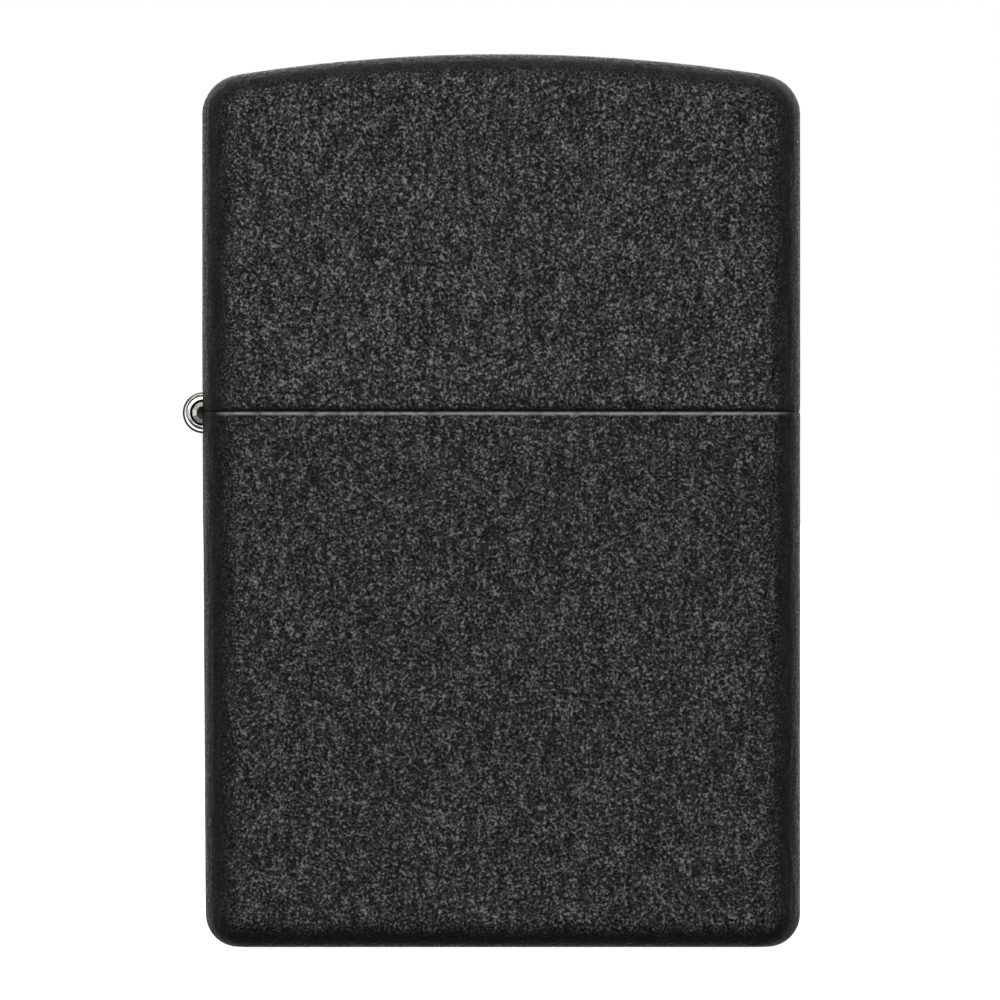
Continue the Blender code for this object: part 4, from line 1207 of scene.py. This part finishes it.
def build_packing(cotton):
    """Five tufts of cotton wadding, swollen against each other and lumpy like pulled wool."""
    for number in range(1, 6):
        node = f"packing_{number}"
        low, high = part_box(node)
        inset = Vector((0.5, 0.5, 0.5)) * MM
        piece = to_object(f"cotton_tuft_{number}", block(low + inset, high - inset))
        bevel(piece, 1.5 * MM, 5, angle=30)
        swell(piece, TUFT_CELL, 0.45 * MM)
        modify(piece, "SUBSURF", levels=1, render_levels=1)
        seed = Vector((number * 3.1, number * 1.7, 0))
        for vertex in piece.data.vertices:
            lump = noise.fractal(vertex.co / MM * 0.55 + seed, 0.9, 2.1, 4)
            vertex.co += vertex.normal * (lump * 0.3 - 0.12) * MM
            for axis in range(3):
                vertex.co[axis] = min(max(vertex.co[axis], low[axis]), high[axis])
        finish_piece(piece, [cotton], "insert", node, 80)


def build_felt(felt):
    """The felt that closes the tank's foot, with soft edges and a hole over the flint screw."""
    low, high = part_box("felt_pad")
    corner = TANK_CORNER - TANK_WALL - 0.15 * MM
    soft, steps, cap_rows = 0.45 * MM, 6, 12
    rings = []
    for side, face_z in ((1, high.z), (-1, low.z)):
        part = []
        for i in range(steps + 1):
            angle = math.pi / 2 * i / steps
            inset = soft * (1 - math.cos(angle))
            z = face_z - side * soft + side * soft * math.sin(angle)
            border = rounded_outline(high.x - inset, high.y - inset, corner - inset, 6, 60, 10)
            part.append([(x, y, z) for x, y in border])
        for i in range(1, cap_rows):
            part.append(towards_middle(border, high.x - high.y, i / cap_rows, flat_end(face_z)))
        rings += part[::-1] if side > 0 else part
    bm = bmesh.new()
    skin(bm, rings, "strips")
    bm.normal_update()
    for vert in bm.verts:
        lump = noise.fractal(vert.co / MM * 1.1, 0.9, 2.0, 3)
        vert.co -= vert.normal * (0.05 * MM + 0.06 * MM * lump)
    piece = to_object("felt_sheet", bm)
    cut(piece, rod(3.4 * MM, -THROUGH, THROUGH, (WHEEL.x, 0, 0), "Z", 64))
    bevel(piece, 0.3 * MM, 3, angle=55)
    finish_piece(piece, [felt], "insert", "felt_pad", 80)


# ---- stage


CAMERA_LENS = 200  # millimetres, on a sensor of 36
SENSOR = 36
FRAME_WIDTH = 63.97 * MM  # what the frame takes in at the case's widest part
VIEW_CENTRE = Vector((-0.08 * MM, -3.6 * MM, 28.54 * MM))


def build_camera():
    data = bpy.data.cameras.new("camera")
    data.lens = CAMERA_LENS
    data.sensor_width = SENSOR
    data.clip_start = 0.01
    data.clip_end = 100
    camera = bpy.data.objects.new("camera", data)
    distance = FRAME_WIDTH * CAMERA_LENS / SENSOR
    camera.location = VIEW_CENTRE - Vector((0, distance, 0))
    camera.rotation_euler = (math.pi / 2, 0, 0)
    bpy.context.scene.collection.objects.link(camera)
    bpy.context.scene.camera = camera


def build_floor():
    """A pale floor, seen only from above, that throws no light back at the object."""
    bm = bmesh.new()
    bmesh.ops.create_circle(bm, cap_ends=True, segments=96, radius=6.0)
    bmesh.ops.translate(bm, verts=bm.verts, vec=(0, 0, -0.02 * MM))
    floor = to_object("floor", bm)
    if floor.data.polygons[0].normal.z < 0:
        floor.data.flip_normals()
    graph = Graph("pale_floor", Roughness=0.9, Emission_Strength=0.9)
    graph.shader.inputs["Base Color"].default_value = (0.8, 0.8, 0.8, 1)
    graph.shader.inputs["Emission Color"].default_value = (1, 1, 1, 1)
    clear = graph.add("BsdfTransparent", {}).outputs["BSDF"]
    below = graph.add("NewGeometry", {}).outputs["Backfacing"]
    mix = graph.add("MixShader", {0: below, 1: graph.shader.outputs["BSDF"], 2: clear})
    graph.links.new(mix.outputs["Shader"], graph.nodes["Material Output"].inputs["Surface"])
    floor.data.materials.append(graph.material)
    floor.visible_glossy = False
    floor.visible_diffuse = False


def build_world():
    """A white studio: a soft front, a brighter bank above it, dark flags at the sides and a white rear."""
    world = bpy.data.worlds.new("studio")
    bpy.context.scene.world = world
    world.use_nodes = True
    studio = Nodes(world.node_tree)
    mix, span = studio.mix, studio.span
    direction = studio.add("TexCoord", {}).outputs["Generated"]
    parts = studio.add("SeparateXYZ", {0: direction}).outputs
    across, rear, up = parts["X"], parts["Y"], parts["Z"]
    front = studio.math("MULTIPLY", rear, -1.0)
    down = studio.math("MULTIPLY", up, -1.0)
    light = mix(span(up, 0.6, 0.95), 0.05, 0.3)
    light = mix(span(down, 0.2, 0.7), light, 0.02)
    bank = studio.math("MULTIPLY", span(up, 0.08, 0.3), span(down, -0.72, -0.55))
    low_front = mix(span(down, 0.03, 0.34), 0.75, 0.08)
    lit_front = mix(bank, low_front, mix(span(across, -0.45, 0.45), 3.8, 2.4))
    light = mix(span(front, 0.62, 0.8), light, lit_front)
    light = mix(span(front, 0.97, 0.985), light, 1.6)
    rear_light = mix(span(up, -0.8, -0.3), 0.35, 1.0)
    rear_light = mix(span(up, 0.1, 0.4), rear_light, 2.2)
    light = mix(span(rear, 0.1, 0.45), light, rear_light)
    seen = studio.add("LightPath", {}).outputs["Is Camera Ray"]
    background = studio.nodes["Background"]
    studio.links.new(mix(seen, light, 1.0), background.inputs["Strength"])
    background.inputs["Color"].default_value = (1, 1, 1, 1)


def main():
    bpy.context.scene.view_settings.view_transform = "Standard"
    build_camera()
    build_world()
    build_floor()

    # The lid's paint is a lighter copy of the base's: painted light, for the lid standing in brighter
    # light from above.
    base_paint = crackle_paint("black_crackle_base", 1.0)
    lid_paint_painted_lighter = crackle_paint("black_crackle_lid_painted_lighter", 1.21)
    bare = brushed_metal("bare_inside", (0.42, 0.41, 0.4), "X", 0.42)
    plated = brushed_metal("plated_hinge", (0.78, 0.76, 0.73), "Y", 0.11, 0.03)
    dull = brushed_metal("dull_pin", (0.24, 0.235, 0.22), "X", 0.4)
    # Near-black steel for the leaves' bores and the pin's rim, as painted shade in the gap between them,
    # and for the hollow in the pin's middle.
    near_black = brushed_metal("near_black_steel", (0.045, 0.042, 0.038), "Y", 0.5)
    steel = brushed_metal("satin_steel", (0.66, 0.65, 0.63), "X", 0.27)
    upright = brushed_metal("satin_steel_upright", (0.68, 0.67, 0.65), "Z", 0.25)
    dark_steel = brushed_metal("hardened_steel", (0.24, 0.23, 0.22), "Y", 0.34)
    spring_steel = brushed_metal("spring_wire", (0.5, 0.5, 0.5), "Z", 0.22)
    brass = turned_brass()
    wadding = loose_fibres("cotton_wadding", (0.66, 0.64, 0.58), (0.9, 0.89, 0.85), 3.5, 0.12 * MM)
    felt = loose_fibres("pressed_felt", (0.48, 0.46, 0.42), (0.78, 0.76, 0.72), 5.0, 0.06 * MM)

    build_base_shell(base_paint, bare)
    build_lid_shell(lid_paint_painted_lighter, bare)
    build_leaf("leaf_of_base", "hinge_leaf_base", "base", plated, near_black, -1, (0, 2, 4))
    build_leaf("leaf_of_lid", "hinge_leaf_lid", "lid", plated, near_black, 1, (1, 3))
    build_hinge_pin(plated, dull, near_black)

    build_tank(steel)
    build_chimney(upright)
    build_rivet("wheel_axle", "wheel_rivet", steel, "Y", WHEEL_PIN, EAR_HALF_Y)
    build_rivet("cam_axle", "cam_rivet", steel, "Y", CAM_PIN, half_of("chimney").y)
    grip = (TANK_WALL + LEAF_SPRING_GAP + LEAF_SPRING) / 2
    build_rivet("spring_fixing", "spring_rivet", steel, "X", SPRING_RIVET, grip)
    build_wheel(dark_steel)
    build_cam(steel)
    build_cam_spring(spring_steel)

    build_flint_tube(brass)
    build_flint_screw(brass)
    build_flint(flint_alloy())
    build_follower(brass)
    build_flint_spring(spring_steel)

    wick_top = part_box("wick")[1].z
    build_wick(wick_cotton(wick_top - 1.2 * MM, wick_top + 2.6 * MM), brass)
    build_packing(wadding)
    build_felt(felt)


main()
